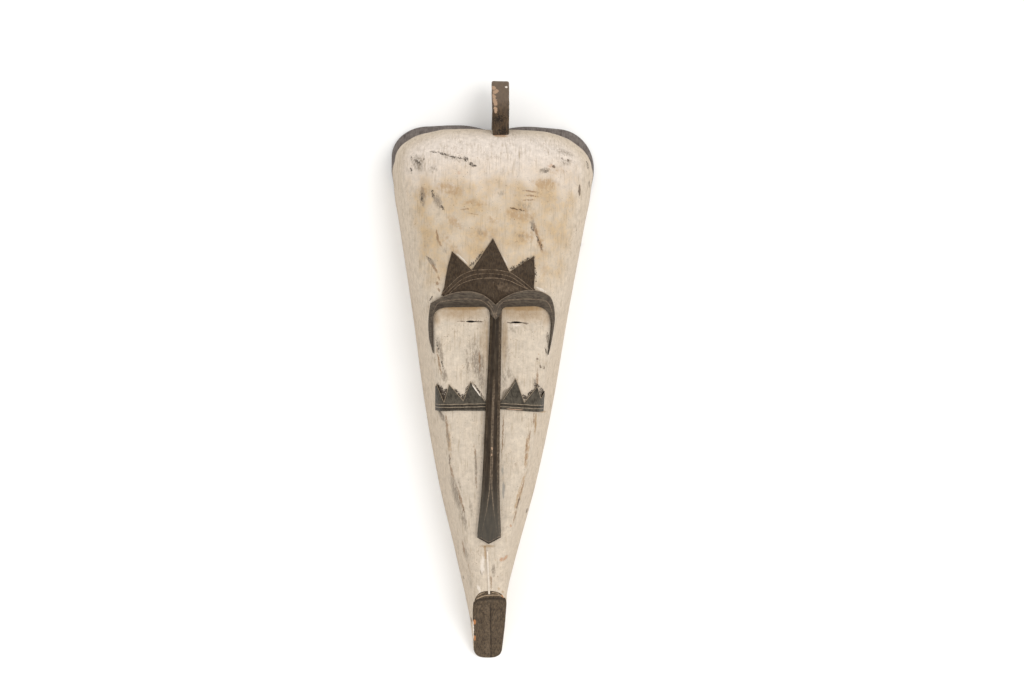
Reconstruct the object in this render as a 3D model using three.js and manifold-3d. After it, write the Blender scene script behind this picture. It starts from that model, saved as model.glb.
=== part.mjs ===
// A long carved wooden mask with a domed forehead, lying face up on the flat rim of its hollow back.
// X runs across the mask, +Y towards its crest, +Z out of its face. The origin is under its middle.
import * as THREE from 'three';
import { mergeVertices } from 'three/addons/utils/BufferGeometryUtils.js';
import Module from 'manifold-3d';

const wasm = await Module();
wasm.setup();

// Overall form, in millimetres. Each list of stations is [place along Y, value], from the top down.
const TOP_EDGE = 347;
const TOP_SAG = 4;
const TOP_DIP = { depth: 8, halfWidth: 28 };
// Where the rounding of each upper corner starts: how far from the middle, and how far up.
const CORNER = { right: { x: 89.5, y: 287 }, left: { x: 90, y: 300 } };
const SPINE_TOP = 215;
const SPINE_FOOT = -380;
const FOOT_EDGE = -400.6;
const FOOT_SQUARENESS = 2.8;
const BROW_FOOT = 86;
const BROW_TOP = 106;

const HALF_WIDTH = [
  [300, 142.2], [284, 142.2], [262, 139], [240, 136.4], [215, 131.5], [185, 126.4], [73, 107.7], [-39, 90.7],
  [-151, 69], [-263, 40.8], [-319, 28.2], [-380, 20.6],
];
const BASE_SWAY = [[-290, 0], [-319, 1.1], [-347, 3.4], [-380, 4.5]];
const FRONT_SWAY = [[-222, 0], [-245, 1.2], [-295, 5], [-313, 6], [-380, 6]];
const RIDGE = [
  [215, 121], [150, 107], [110, 96], [66, 81.5], [27, 77], [-10, 68.5], [-65, 60], [-135, 49], [-222, 31.5],
  [-245, 27], [-282, 22], [-313, 22], [-380, 19],
];
const RIDGE_HEIGHT = [
  [215, 147], [150, 146], [110, 141], [86, 135], [66, 132], [27, 130], [-10, 128], [-65, 124], [-135, 117],
  [-222, 108], [-282, 101], [-313, 97], [-380, 88],
];
const FRONT_HEIGHT = [
  [215, 153.5], [150, 153], [106, 147], [86, 132], [66, 130], [27, 129], [-10, 128], [-65, 126], [-135, 121],
  [-222, 115], [-282, 107], [-313, 103], [-380, 94],
];
// How far up the side wall, and how far in from the ridge, the rounding between wall and face begins.
const WALL_STRAIGHT = [
  [215, 0.32], [150, 0.4], [110, 0.55], [86, 0.72], [66, 0.82], [27, 0.85], [-282, 0.84], [-380, 0.88],
];
const FACE_ROUNDED = [
  [215, 0.85], [150, 0.8], [110, 0.6], [86, 0.3], [66, 0.15], [27, 0.16], [-65, 0.25], [-222, 0.4],
  [-282, 0.5], [-380, 0.55],
];

// Dark rim round the back of the dome, by the angle seen from the upper end of the spine, in degrees.
const RIM_STEP = [
  [4, 0], [20, 2.2], [29, 4.6], [36, 9.4], [42, 13.7], [50, 15.3], [60, 10.6], [75, 10.3], [90, 11.8],
];
const RIM_SECTION = [
  { height: 0, share: 1 }, { height: 8, share: 1 }, { height: 14, share: 0.65 }, { height: 19, share: 0 },
];
const TOP_WALL_LEAN = 4;

const SHELL_THICKNESS = 18;
const HOLLOW_FOOT = -250;
const BELOW_RIM = 6;
const ABOVE_ALL = 180;
const UNDER_BROW = 110;
const UNDER_CHEEK = 70;

// Carving. Raised parts are given by how far they stand out from the face.
const CROWN_RAISED = 3;
const BROW_RAISED = 5.5;
const BROW_TAIL = { raised: 2.5, below: 66 };
const BAND_RAISED = 2.5;
const CHIN_RAISED = 1.5;
const MOUTH_CUT = { top: { y: -296, z: 102.5 }, foot: { y: FOOT_EDGE, z: 8 }, beyond: 25 };
const MOUTH_LIP = { width: 8.5, cornerDrop: 8.5, depth: 2.5, halfWidth: 17 };
// Nose: a long bar with bevelled sides and a fine central ridge that widens into a flat tip.
const NOSE_STATIONS = [
  { y: 108, centre: 5.6, half: 7.6, top: 147.5, flat: 0.7, shoulder: 1.6 },
  { y: 92, centre: 5.6, half: 7.6, top: 143.5, flat: 0.7, shoulder: 1.6 },
  { y: 60, centre: 5.5, half: 7.6, top: 141.5, flat: 0.7, shoulder: 1.6 },
  { y: 18, centre: 5.1, half: 8.2, top: 141, flat: 0.7, shoulder: 1.6 },
  { y: -61, centre: 3.9, half: 9.9, top: 139.5, flat: 0.7, shoulder: 1.6 },
  { y: -140, centre: 3.2, half: 11.4, top: 136, flat: 0.9, shoulder: 1.6 },
  { y: -180, centre: 2.8, half: 13.4, top: 133, flat: 4.6, shoulder: 1 },
  { y: -214, centre: 2.4, half: 16, top: 130.5, flat: 10.5, shoulder: 0.5 },
  { y: -228, centre: 2.2, half: 17.2, top: 129.5, flat: 12.5, shoulder: 0.4 },
];
const NOSE_FACET = { width: 4, least: 0.6, drop: 6.5, sunk: 8 };
const CREST = { centre: 8.5, thickness: 24, edge: 1.5 };
const EYE = { length: 20, opening: 2.6, y: 69 };
const LEFT_EYE_X = -22;
const RIGHT_EYE_X = 38;

const WOOD = { color: 0xdccdb9, roughness: 0.85, metalness: 0 };

const lerp = THREE.MathUtils.lerp;

// Value of a list of stations at one place, on a smooth curve that never overshoots them.
function along(stations, place) {
  const rising = stations[0][0] < stations[stations.length - 1][0];
  const list = rising ? stations : [...stations].reverse();
  const last = list.length - 1;
  if (place <= list[0][0]) return list[0][1];
  if (place >= list[last][0]) return list[last][1];
  const i = list.findIndex((station) => station[0] > place) - 1;
  const slope = (k) => (list[k + 1][1] - list[k][1]) / (list[k + 1][0] - list[k][0]);
  const tangent = (k) => {
    if (k === 0) return slope(0);
    if (k === last) return slope(last - 1);
    const before = slope(k - 1);
    const after = slope(k);
    return before * after <= 0 ? 0 : (2 * before * after) / (before + after);
  };
  const span = list[i + 1][0] - list[i][0];
  const t = (place - list[i][0]) / span;
  const rise = list[i + 1][1] - list[i][1];
  const start = tangent(i) * span;
  const end = tangent(i + 1) * span;
  const bend = start + end - 2 * rise;
  return list[i][1] + t * (start + t * (3 * rise - 2 * start - end + t * bend));
}

// Turns a closed geometry into a solid that can be joined and cut.
function toSolid(geometry) {
  const bare = geometry.index ? geometry.toNonIndexed() : geometry.clone();
  bare.deleteAttribute('normal');
  bare.deleteAttribute('uv');
  const merged = mergeVertices(bare, 1e-4);
  const index = [...merged.index.array];
  const kept = [];
  for (let i = 0; i < index.length; i += 3) {
    const [a, b, c] = index.slice(i, i + 3);
    if (a !== b && b !== c && c !== a) kept.push(a, b, c);
  }
  const mesh = new wasm.Mesh({
    numProp: 3,
    vertProperties: new Float32Array(merged.attributes.position.array),
    triVerts: new Uint32Array(kept),
  });
  return new wasm.Manifold(mesh);
}

function toGeometry(solid) {
  const mesh = solid.getMesh();
  const geometry = new THREE.BufferGeometry();
  geometry.setAttribute('position', new THREE.BufferAttribute(new Float32Array(mesh.vertProperties), 3));
  geometry.setIndex(new THREE.BufferAttribute(new Uint32Array(mesh.triVerts), 1));
  geometry.computeVertexNormals();
  return geometry;
}

// Joins closed loops of equal length into a solid. They run anticlockwise as seen from the last one's side,
// and flatten gives the plane in which the end caps are filled.
function loftSolid(loops, closeLast, flatten) {
  const count = loops[0].length;
  const triangles = [];
  const add = (...corners) => corners.forEach((p) => triangles.push(p.x, p.y, p.z));
  for (let k = 0; k + 1 < loops.length; k += 1) {
    for (let i = 0; i < count; i += 1) {
      const j = (i + 1) % count;
      const [a, b] = [loops[k][i], loops[k][j]];
      const [c, d] = [loops[k + 1][j], loops[k + 1][i]];
      add(a, b, c);
      add(a, c, d);
    }
  }
  const cap = (loop, forwards) => {
    for (const [a, b, c] of THREE.ShapeUtils.triangulateShape(loop.map(flatten), [])) {
      if (forwards) add(loop[a], loop[b], loop[c]);
      else add(loop[a], loop[c], loop[b]);
    }
  };
  cap(loops[0], false);
  if (closeLast) cap(loops[loops.length - 1], true);
  const geometry = new THREE.BufferGeometry();
  geometry.setAttribute('position', new THREE.Float32BufferAttribute(triangles, 3));
  return toSolid(geometry);
}

// Width of the dark rim beyond the dome, at a point of the outline.
function rimStep(x, y) {
  const angle = THREE.MathUtils.radToDeg(Math.atan2(y - SPINE_TOP, Math.abs(x)));
  return along(RIM_STEP, angle);
}

// How far the rim dips at the middle of its top edge, below the crest.
function topDip(x) {
  return TOP_DIP.depth * Math.exp(-((x / TOP_DIP.halfWidth) ** 2));
}

// Half of the outline above the spine's upper end, from the side round a corner to the middle, as on the right.
function topOutline(corner, steps) {
  const points = [];
  for (let i = 1; i <= steps.side; i += 1) {
    const y = lerp(SPINE_TOP, corner.y, i / steps.side);
    points.push([along(HALF_WIDTH, y), y]);
  }
  const across = along(HALF_WIDTH, corner.y) - corner.x;
  const up = TOP_EDGE - TOP_SAG - corner.y;
  for (let i = 1; i <= steps.corner; i += 1) {
    const angle = (Math.PI / 2) * (i / steps.corner);
    points.push([corner.x + across * Math.cos(angle), corner.y + up * Math.sin(angle)]);
  }
  for (let i = 1; i <= steps.top; i += 1) {
    const x = corner.x * (1 - i / steps.top);
    points.push([x, TOP_EDGE - TOP_SAG * (x / corner.x) ** 2 - topDip(x)]);
  }
  return points;
}

// The whole outline, anticlockwise from the foot of the right side. Each point has the spine point that its
// section runs to, how far the wall there leans in, and how far the rim stands out.
function outline(foot, footLength, steps) {
  const side = (sign) => {
    const rows = [];
    for (let i = 0; i <= steps.lower; i += 1) rows.push(lerp(foot, BROW_FOOT, i / steps.lower));
    for (let i = 0; i <= steps.upper; i += 1) rows.push(lerp(BROW_TOP, SPINE_TOP, i / steps.upper));
    return rows.map((y) => {
      const x = along(BASE_SWAY, y) + sign * along(HALF_WIDTH, y);
      const spineX = along(FRONT_SWAY, y);
      const lean = Math.abs(x - spineX) - along(RIDGE, y);
      return { x, y, spineX, spineY: y, lean, rim: 0 };
    });
  };
  const top = (sign) => topOutline(sign > 0 ? CORNER.right : CORNER.left, steps).map(([x, y]) => {
    const turned = Math.sin(Math.atan2(y - SPINE_TOP, x)) ** 2;
    const sideLean = along(HALF_WIDTH, SPINE_TOP) - along(RIDGE, SPINE_TOP);
    const lean = lerp(sideLean, TOP_WALL_LEAN, turned);
    return { x: sign * x, y, spineX: 0, spineY: SPINE_TOP, lean, rim: rimStep(x, y) - topDip(x) };
  });
  const end = () => {
    const spineX = along(FRONT_SWAY, foot);
    const baseX = along(BASE_SWAY, foot);
    const half = along(HALF_WIDTH, foot);
    const lean = half - along(RIDGE, foot);
    const power = 2 / FOOT_SQUARENESS;
    const points = [];
    for (let i = 1; i < steps.foot; i += 1) {
      const angle = Math.PI * (1 + i / steps.foot);
      const x = baseX + half * Math.sign(Math.cos(angle)) * Math.abs(Math.cos(angle)) ** power;
      const y = foot - footLength * Math.abs(Math.sin(angle)) ** power;
      points.push({ x, y, spineX, spineY: foot, lean, rim: 0 });
    }
    return points;
  };
  return [...side(1), ...top(1), ...top(-1).reverse().slice(1), ...side(-1).reverse(), ...end()];
}

// Heights and distances from the spine along the section at one outline point, from the rim to the spine.
function section(point, grow, steps) {
  const y = point.spineY;
  const reach = Math.hypot(point.x - point.spineX, point.y - y);
  const rim = Math.max(point.rim, 0);
  const foot = reach - rim + grow;
  const ridge = foot - point.lean;
  const ridgeHeight = along(RIDGE_HEIGHT, y) + grow;
  const frontHeight = along(FRONT_HEIGHT, y) + grow;
  const wall = (z) => foot - (point.lean * z) / ridgeHeight;
  const front = (r) => frontHeight - (frontHeight - ridgeHeight) * (r / ridge) ** 2;
  const rimShown = grow < 0 ? 0 : rim;
  const points = RIM_SECTION.map(({ height, share }) => [wall(height) + rimShown * share, height]);
  const rimTop = RIM_SECTION[RIM_SECTION.length - 1].height;
  const wallTop = ridgeHeight * along(WALL_STRAIGHT, y);
  for (let i = 1; i <= steps.wall; i += 1) {
    const z = lerp(rimTop, wallTop, i / steps.wall);
    points.push([wall(z), z]);
  }
  const inner = ridge * (1 - along(FACE_ROUNDED, y));
  const slope = (-2 * (frontHeight - ridgeHeight) * inner) / ridge ** 2;
  const bendHeight = (front(inner) + slope * (foot - inner)) / (1 + (slope * point.lean) / ridgeHeight);
  const bend = [wall(bendHeight), bendHeight];
  const start = [wall(wallTop), wallTop];
  const stop = [inner, front(inner)];
  for (let i = 1; i <= steps.round; i += 1) {
    const t = i / steps.round;
    const mix = (k) => (1 - t) ** 2 * start[k] + 2 * t * (1 - t) * bend[k] + t ** 2 * stop[k];
    points.push([mix(0), mix(1)]);
  }
  for (let i = 1; i <= steps.face; i += 1) {
    const r = inner * (1 - i / steps.face);
    points.push([r, front(r)]);
  }
  return points;
}

// The mask's body without carving, grown outwards by a thickness, or shrunk inwards for its hollow.
function body(grow, foot, footLength, lowest, steps) {
  const stations = outline(foot, footLength, steps);
  const sections = stations.map((point) => section(point, grow, steps));
  const loops = sections[0].map((_, k) => stations.map((point, i) => {
    const reach = Math.hypot(point.x - point.spineX, point.y - point.spineY);
    const share = sections[i][k][0] / reach;
    return new THREE.Vector3(
      lerp(point.spineX, point.x, share),
      lerp(point.spineY, point.y, share),
      k === 0 ? lowest : sections[i][k][1],
    );
  }));
  return loftSolid(loops, false, (p) => new THREE.Vector2(p.x, p.y));
}

// A prism straight through the face, with its outline seen from the front.
function prism(shape, from, to) {
  const geometry = new THREE.ExtrudeGeometry(shape, { depth: to - from, bevelEnabled: false, curveSegments: 8 });
  geometry.translate(0, 0, from);
  return toSolid(geometry);
}

function polygon(points) {
  return new THREE.Shape(points.map(([x, y]) => new THREE.Vector2(x, y)));
}

// Zigzag crown over the brows, with the pointed ends of the brows running down both temples.
function crownShape() {
  return polygon([
    [-53.6, 161.3], [-61, 130], [-63.3, 114], [-67.1, 103.3], [-50, 94], [0, 90], [50, 94], [62, 106],
    [55.5, 114.8], [54.5, 156.8], [22.7, 135.1], [0.1, 179.1], [-27.1, 136.8],
  ]);
}

function browShape() {
  const shape = new THREE.Shape();
  shape.moveTo(-76.8, 26);
  shape.quadraticCurveTo(-77.6, 55, -77.2, 74);
  shape.quadraticCurveTo(-75.5, 87.3, -54, 87.6);
  shape.lineTo(-11, 89);
  shape.quadraticCurveTo(-3.5, 88.6, -2.1, 80);
  shape.lineTo(13, 80);
  shape.quadraticCurveTo(13.5, 88.6, 20, 89.2);
  shape.lineTo(57, 91);
  shape.quadraticCurveTo(77.5, 90, 79.5, 70);
  shape.quadraticCurveTo(79, 50, 76.1, 26.5);
  shape.quadraticCurveTo(83.6, 50, 84.4, 74);
  shape.quadraticCurveTo(84, 97, 76.8, 104.6);
  shape.quadraticCurveTo(66, 112.5, 48, 112.4);
  shape.quadraticCurveTo(22, 110, 5, 92);
  shape.quadraticCurveTo(-10, 108.5, -32, 109.4);
  shape.quadraticCurveTo(-56, 108.5, -73.6, 96.6);
  shape.lineTo(-81, 92.6);
  shape.quadraticCurveTo(-86, 66, -82.2, 43.7);
  return shape;
}

function leftBandShape() {
  return polygon([
    [-73.5, -50], [-4, -46.8], [-4, -35.5], [-7.1, -35.5], [-26.2, -9.9], [-35.3, -36], [-54.7, -14.3],
    [-61.1, -38.4], [-71.5, -14.6], [-73.5, -18],
  ]);
}

function rightBandShape() {
  return polygon([
    [12, -46.5], [74, -50.2], [74.2, -22.8], [68.4, -31], [63.1, -15], [46.1, -36.6], [34, -4.9], [14.2, -35.8],
    [12, -35.8],
  ]);
}

function nose() {
  const outlineAt = ({ y, centre, half, top, flat, shoulder }) => {
    const base = along(FRONT_HEIGHT, y) - NOSE_FACET.sunk;
    const inner = Math.max(half - NOSE_FACET.width, flat + NOSE_FACET.least);
    const right = [
      [half, base], [half, top - NOSE_FACET.drop], [inner, top - shoulder], [flat, top],
    ];
    const left = right.map(([x, z]) => [-x, z]).reverse();
    return [...right, ...left].map(([x, z]) => new THREE.Vector3(centre + x, y, z));
  };
  const bar = loftSolid(NOSE_STATIONS.map(outlineAt), true, (p) => new THREE.Vector2(p.x, p.z));
  const pointed = polygon([
    [-25, 120], [-25, -207], [-13.6, -214.8], [1.5, -225.4], [18.4, -214.3], [30, -206], [30, 120],
  ]);
  return bar.intersect(prism(pointed, UNDER_CHEEK, ABOVE_ALL));
}

// Narrow ridge down the middle of the chin, between the nose and the mouth.
function chinRidge() {
  const shape = new THREE.Shape();
  shape.moveTo(-1.2, -222);
  shape.quadraticCurveTo(0, -262, 3, -300);
  shape.lineTo(5, -300);
  shape.quadraticCurveTo(3, -262, 1.6, -222);
  return shape;
}

// Flat crest that stands up from the dome, drawn from the side: +X forwards out of the face, +Y up the mask.
function crest() {
  const shape = new THREE.Shape();
  shape.moveTo(70, 296);
  shape.lineTo(107, 314);
  shape.lineTo(106, 357);
  shape.quadraticCurveTo(104, 362, 98, 368);
  shape.lineTo(68, 396.4);
  shape.quadraticCurveTo(61, 402.9, 54, 399.4);
  shape.quadraticCurveTo(40, 388, 30, 366);
  shape.lineTo(14, 338);
  shape.lineTo(24, 322);
  const depth = CREST.thickness - 2 * CREST.edge;
  const geometry = new THREE.ExtrudeGeometry(shape, {
    depth,
    bevelEnabled: true,
    bevelSegments: 1,
    bevelSize: CREST.edge,
    bevelThickness: CREST.edge,
    bevelOffset: -CREST.edge,
    curveSegments: 5,
  });
  geometry.translate(0, 0, -depth / 2);
  const place = new THREE.Matrix4().makeBasis(
    new THREE.Vector3(0, 0, 1),
    new THREE.Vector3(0, 1, 0),
    new THREE.Vector3(-1, 0, 0),
  );
  geometry.applyMatrix4(place);
  geometry.translate(CREST.centre, 0, 0);
  return toSolid(geometry);
}

// The slanting end of the snout: everything in front of the cut plane, then the mouth sunk below its lip.
function mouthCut() {
  const { top, foot, beyond } = MOUTH_CUT;
  const { width, cornerDrop, depth, halfWidth } = MOUTH_LIP;
  const length = Math.hypot(top.y - foot.y, top.z - foot.z);
  const tilt = Math.atan2(top.z - foot.z, top.y - foot.y);
  const place = new THREE.Matrix4().makeRotationX(tilt);
  place.setPosition(along(FRONT_SWAY, foot.y), foot.y, foot.z);
  const size = 2 * halfWidth + 2 * beyond;
  const block = new THREE.BoxGeometry(size, length + size, size);
  block.translate(0, length / 2, size / 2).applyMatrix4(place);
  const lipFoot = length - width;
  const shape = new THREE.Shape();
  shape.moveTo(-halfWidth - beyond, -beyond);
  shape.lineTo(halfWidth + beyond, -beyond);
  shape.lineTo(halfWidth + beyond, lipFoot - 3 * cornerDrop);
  shape.lineTo(halfWidth, lipFoot - cornerDrop);
  shape.quadraticCurveTo(halfWidth * 0.7, lipFoot, 0, lipFoot);
  shape.quadraticCurveTo(-halfWidth * 0.7, lipFoot, -halfWidth, lipFoot - cornerDrop);
  shape.lineTo(-halfWidth - beyond, lipFoot - 3 * cornerDrop);
  const sunk = new THREE.ExtrudeGeometry(shape, { depth: 2 * depth, bevelEnabled: false, curveSegments: 6 });
  sunk.translate(0, 0, -depth).applyMatrix4(place);
  return toSolid(block).add(toSolid(sunk));
}

// A slit with pointed ends, cut right through the shell.
function eyeSlit(x) {
  const { length, opening, y } = EYE;
  const shape = new THREE.Shape();
  shape.moveTo(x - length / 2, y);
  shape.quadraticCurveTo(x, y - opening, x + length / 2, y);
  shape.quadraticCurveTo(x, y + opening, x - length / 2, y);
  return prism(shape, UNDER_CHEEK, ABOVE_ALL);
}

const OUTER_STEPS = { lower: 26, upper: 7, side: 4, corner: 7, top: 6, foot: 8, wall: 3, round: 6, face: 3 };
const INNER_STEPS = { lower: 12, upper: 4, side: 2, corner: 3, top: 3, foot: 6, wall: 2, round: 3, face: 2 };

// All the carving that stands out from the body.
function carving(grown) {
  const raised = (shape, thickness, lowest) => prism(shape, lowest, ABOVE_ALL).intersect(grown(thickness));
  const { below } = BROW_TAIL;
  const wide = HALF_WIDTH[0][1];
  const upper = polygon([[-wide, below], [wide, below], [wide, SPINE_TOP], [-wide, SPINE_TOP]]);
  const brow = raised(browShape(), BROW_RAISED, UNDER_BROW).intersect(prism(upper, UNDER_BROW, ABOVE_ALL));
  return [
    raised(crownShape(), CROWN_RAISED, UNDER_BROW),
    brow,
    raised(browShape(), BROW_TAIL.raised, UNDER_BROW),
    raised(leftBandShape(), BAND_RAISED, UNDER_CHEEK),
    raised(rightBandShape(), BAND_RAISED, UNDER_CHEEK),
    raised(chinRidge(), CHIN_RAISED, UNDER_CHEEK),
    nose(),
    crest(),
  ];
}

function mask() {
  const footLength = SPINE_FOOT - FOOT_EDGE;
  const grown = (thickness) => body(thickness, SPINE_FOOT, footLength, 0, OUTER_STEPS);
  const hollowEnd = along(HALF_WIDTH, HOLLOW_FOOT);
  const hollow = body(-SHELL_THICKNESS, HOLLOW_FOOT, hollowEnd, -BELOW_RIM, INNER_STEPS);
  const block = carving(grown).reduce((solid, part) => solid.add(part), grown(0));
  const cuts = [mouthCut(), eyeSlit(LEFT_EYE_X), eyeSlit(RIGHT_EYE_X), hollow];
  return cuts.reduce((solid, cut) => solid.subtract(cut), block);
}

const group = new THREE.Group();
const carved = new THREE.Mesh(toGeometry(mask()), new THREE.MeshStandardMaterial(WOOD));
carved.name = 'mask';
group.add(carved);

export default group;
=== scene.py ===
"""A long carved wooden mask with a domed forehead, lying face up on a plain pale floor."""

import logging
import math
from collections.abc import Iterable
from dataclasses import dataclass, field
from enum import Enum

import bmesh
import bpy
import numpy as np
from bpy.types import Material, Mesh, Node, NodeOutputs, NodeSocket as Socket, NodeTree as Tree, Object
from mathutils import Matrix, Vector, noise


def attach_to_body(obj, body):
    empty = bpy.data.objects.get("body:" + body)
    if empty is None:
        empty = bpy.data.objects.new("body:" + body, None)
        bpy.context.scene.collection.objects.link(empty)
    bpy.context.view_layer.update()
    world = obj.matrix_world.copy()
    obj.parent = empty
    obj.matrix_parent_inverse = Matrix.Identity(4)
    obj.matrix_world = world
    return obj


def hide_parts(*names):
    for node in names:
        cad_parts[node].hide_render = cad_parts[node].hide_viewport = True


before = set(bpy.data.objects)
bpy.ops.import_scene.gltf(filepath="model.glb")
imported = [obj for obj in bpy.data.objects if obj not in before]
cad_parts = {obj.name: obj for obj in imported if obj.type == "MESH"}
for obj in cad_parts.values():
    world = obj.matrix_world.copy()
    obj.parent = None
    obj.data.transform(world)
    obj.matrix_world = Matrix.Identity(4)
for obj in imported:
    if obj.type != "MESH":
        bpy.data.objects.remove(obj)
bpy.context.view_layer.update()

log = logging.getLogger("mask")

MM = 0.001
NODE = "mask"
# The attribute that carries wear and soot, and also painted shade and painted highlight.
WEAR_AND_LIGHT = "worn"
# The angle from which an edge stays sharp, the gaps that welds and cuts pass over, and a plate's middle.
SHARP_ANGLE = 32.0
WELD_GAP = 0.002
CUT_GAP = 1e-4
PLATE_MIDDLE = 0.5
SMOOTH = {"interpolation_type": "SMOOTHSTEP"}
COLOURS = {"data_type": "RGBA"}
# How marks are drawn: their soft edge, how far they reach past their size, and how far they may spread.
MARK_EDGE = 0.5
MARK_REACH = 1.3
MARK_LENGTHS = 1.4
MARK_MARGIN = 6.0
Point = tuple[float, float]
Shape = bmesh.types.BMesh


def linear(code: str) -> tuple[float, float, float, float]:
    """Turns an sRGB colour into a linear one.

    Args:
        code: the colour as "#rrggbb".

    Returns:
        Red, green, blue and alpha, from 0 to 1.
    """
    parts = [int(code[i:i + 2], 16) / 255 for i in (1, 3, 5)]
    red, green, blue = (c / 12.92 if c <= 0.04045 else ((c + 0.055) / 1.055) ** 2.4 for c in parts)
    return red, green, blue, 1.0


def set_inputs(node: Node, inputs: dict) -> None:
    """Sets or links the input sockets of a shader node.

    Args:
        node: the node.
        inputs: a value, or another node's output, for each input socket by name or number.
    """
    for socket, value in inputs.items():
        if isinstance(value, Socket):
            node.id_data.links.new(value, node.inputs[socket])
        else:
            node.inputs[socket].default_value = value


def add_node(tree: Tree, kind: str, settings: dict | None = None, inputs: dict | None = None) -> NodeOutputs:
    """Adds a shader node with its settings, values and links.

    Args:
        tree: the material's node tree.
        kind: the node's type, without the "ShaderNode" that starts it.
        settings: the node's own options by name.
        inputs: its input sockets, as set_inputs takes them.

    Returns:
        The new node's outputs.
    """
    node = tree.nodes.new("ShaderNode" + kind)
    for name, value in (settings or {}).items():
        setattr(node, name, value)
    set_inputs(node, inputs or {})
    return node.outputs


def ease(value: np.ndarray, low: float, high: float) -> np.ndarray:
    """Smooth step of a value, from 0 at low to 1 at high."""
    share = np.clip((value - low) / (high - low), 0, 1)
    return share * share * (3 - 2 * share)


def smooth_line(points: tuple[Point, ...], step: float = 1.5) -> np.ndarray:
    """Draws a smooth line through a few points.

    Args:
        points: the places that the line passes through, in millimetres.
        step: the length of its pieces.

    Returns:
        The points of the line.
    """
    p = np.array(points, float)
    ends = np.vstack((2 * p[0] - p[1], p, 2 * p[-1] - p[-2]))
    line = []
    for a, b, c, d in zip(ends, ends[1:], ends[2:], ends[3:]):
        count = max(1, math.ceil(np.hypot(*(c - b)) / step))
        for t in np.arange(count) / count:
            line.append(b + t / 2 * (c - a + t * (2 * a - 5 * b + 4 * c - d + t * (3 * b - a - 3 * c + d))))
    return np.array([*line, p[-1]])


def distance(places: np.ndarray, line: np.ndarray) -> np.ndarray:
    """Distance of each place from a line.

    Args:
        places: the places, one in each row.
        line: the points of the line.

    Returns:
        The distances.
    """
    nearest = np.full(len(places), np.inf)
    for a, b in zip(line, line[1:]):
        along = b - a
        share = np.clip((places - a) @ along / max(along @ along, 1e-9), 0, 1)
        away = places - a - share[:, None] * along
        nearest = np.minimum(nearest, np.hypot(away[:, 0], away[:, 1]))
    return nearest


@dataclass(frozen=True)
class Ripples:
    """Tool marks or dents, which are longer along the mask than across it by a number of times.

    Their depth and size are in millimetres, and the seed shifts their noise.
    """

    depth: float
    size: float
    seed: float
    times_longer: float = 1.0

    def at(self, places: np.ndarray) -> np.ndarray:
        """Smooth noise at each place.

        Args:
            places: the places, in millimetres.

        Returns:
            The noise, from minus the depth to the depth.
        """
        shift = Vector((self.seed, -self.seed, self.seed))
        places = places * (1, 1 / self.times_longer, 1)
        return self.depth * np.array([noise.noise(Vector(place) / self.size + shift) for place in places])


@dataclass(frozen=True)
class Stations:
    """A size that changes smoothly along the mask and never overshoots its stations."""

    pairs: tuple[Point, ...]

    def at(self, place: np.ndarray | float) -> np.ndarray:
        """Value at each place.

        Args:
            place: places along the mask, in millimetres.

        Returns:
            The values there.
        """
        pairs = np.array(sorted(self.pairs), float)
        x, v = pairs[:, 0], pairs[:, 1]
        place = np.clip(np.asarray(place, float), x[0], x[-1])
        i = np.clip(np.searchsorted(x, place, side="right") - 1, 0, len(x) - 2)
        slope = np.diff(v) / np.diff(x)
        before, after = slope[:-1], slope[1:]
        same = before * after > 0
        inner = np.where(same, 2 * before * after / np.where(same, before + after, 1), 0)
        tangent = np.concatenate((slope[:1], inner, slope[-1:]))
        span, rise = x[i + 1] - x[i], v[i + 1] - v[i]
        t = (place - x[i]) / span
        start, end = tangent[i] * span, tangent[i + 1] * span
        return v[i] + t * (start + t * (3 * rise - 2 * start - end + t * (start + end - 2 * rise)))


@dataclass(frozen=True)
class Stroke:
    """A pen stroke of an outline: straight to its end, or bent towards a corner on the way."""

    end: Point
    corner: Point | None = None


@dataclass(frozen=True)
class Drawing:
    """A closed outline seen from the front, in millimetres."""

    start: Point
    strokes: tuple[Stroke, ...]

    def points(self, step: float = 2.0) -> np.ndarray:
        """Points of the outline.

        Args:
            step: the length of the pieces of a bent stroke.

        Returns:
            The points, with the first one not repeated.
        """
        here = np.array(self.start, float)
        found = [here]
        for stroke in self.strokes:
            end = np.array(stroke.end, float)
            if stroke.corner is not None:
                corner = np.array(stroke.corner, float)
                count = max(2, math.ceil(np.hypot(*(end - here)) / step))
                for t in np.arange(1, count) / count:
                    found.append((1 - t) ** 2 * here + 2 * t * (1 - t) * corner + t * t * end)
            found.append(end)
            here = end
        closed = np.hypot(*(found[-1] - found[0])) < 1e-6
        return np.array(found[:-1] if closed else found)


def straight(start: Point, *ends: Point) -> Drawing:
    """A closed outline of straight strokes."""
    return Drawing(start, tuple(Stroke(end) for end in ends))


@dataclass
class Edge:
    """Points round the foot of the mask's wall, each with the spine point that its section runs to."""

    x: np.ndarray
    y: np.ndarray
    spine_x: np.ndarray
    spine_y: np.ndarray
    lean: np.ndarray
    rim: np.ndarray

    @property
    def reach(self) -> np.ndarray:
        """Distance of each point from its spine point."""
        return np.hypot(self.x - self.spine_x, self.y - self.spine_y)


@dataclass(frozen=True)
class Steps:
    """How many steps each stretch of the mask's surface has."""

    lower: int
    side: int
    corner: int
    top: int
    foot: int
    wall: int
    round: int
    face: int


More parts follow.
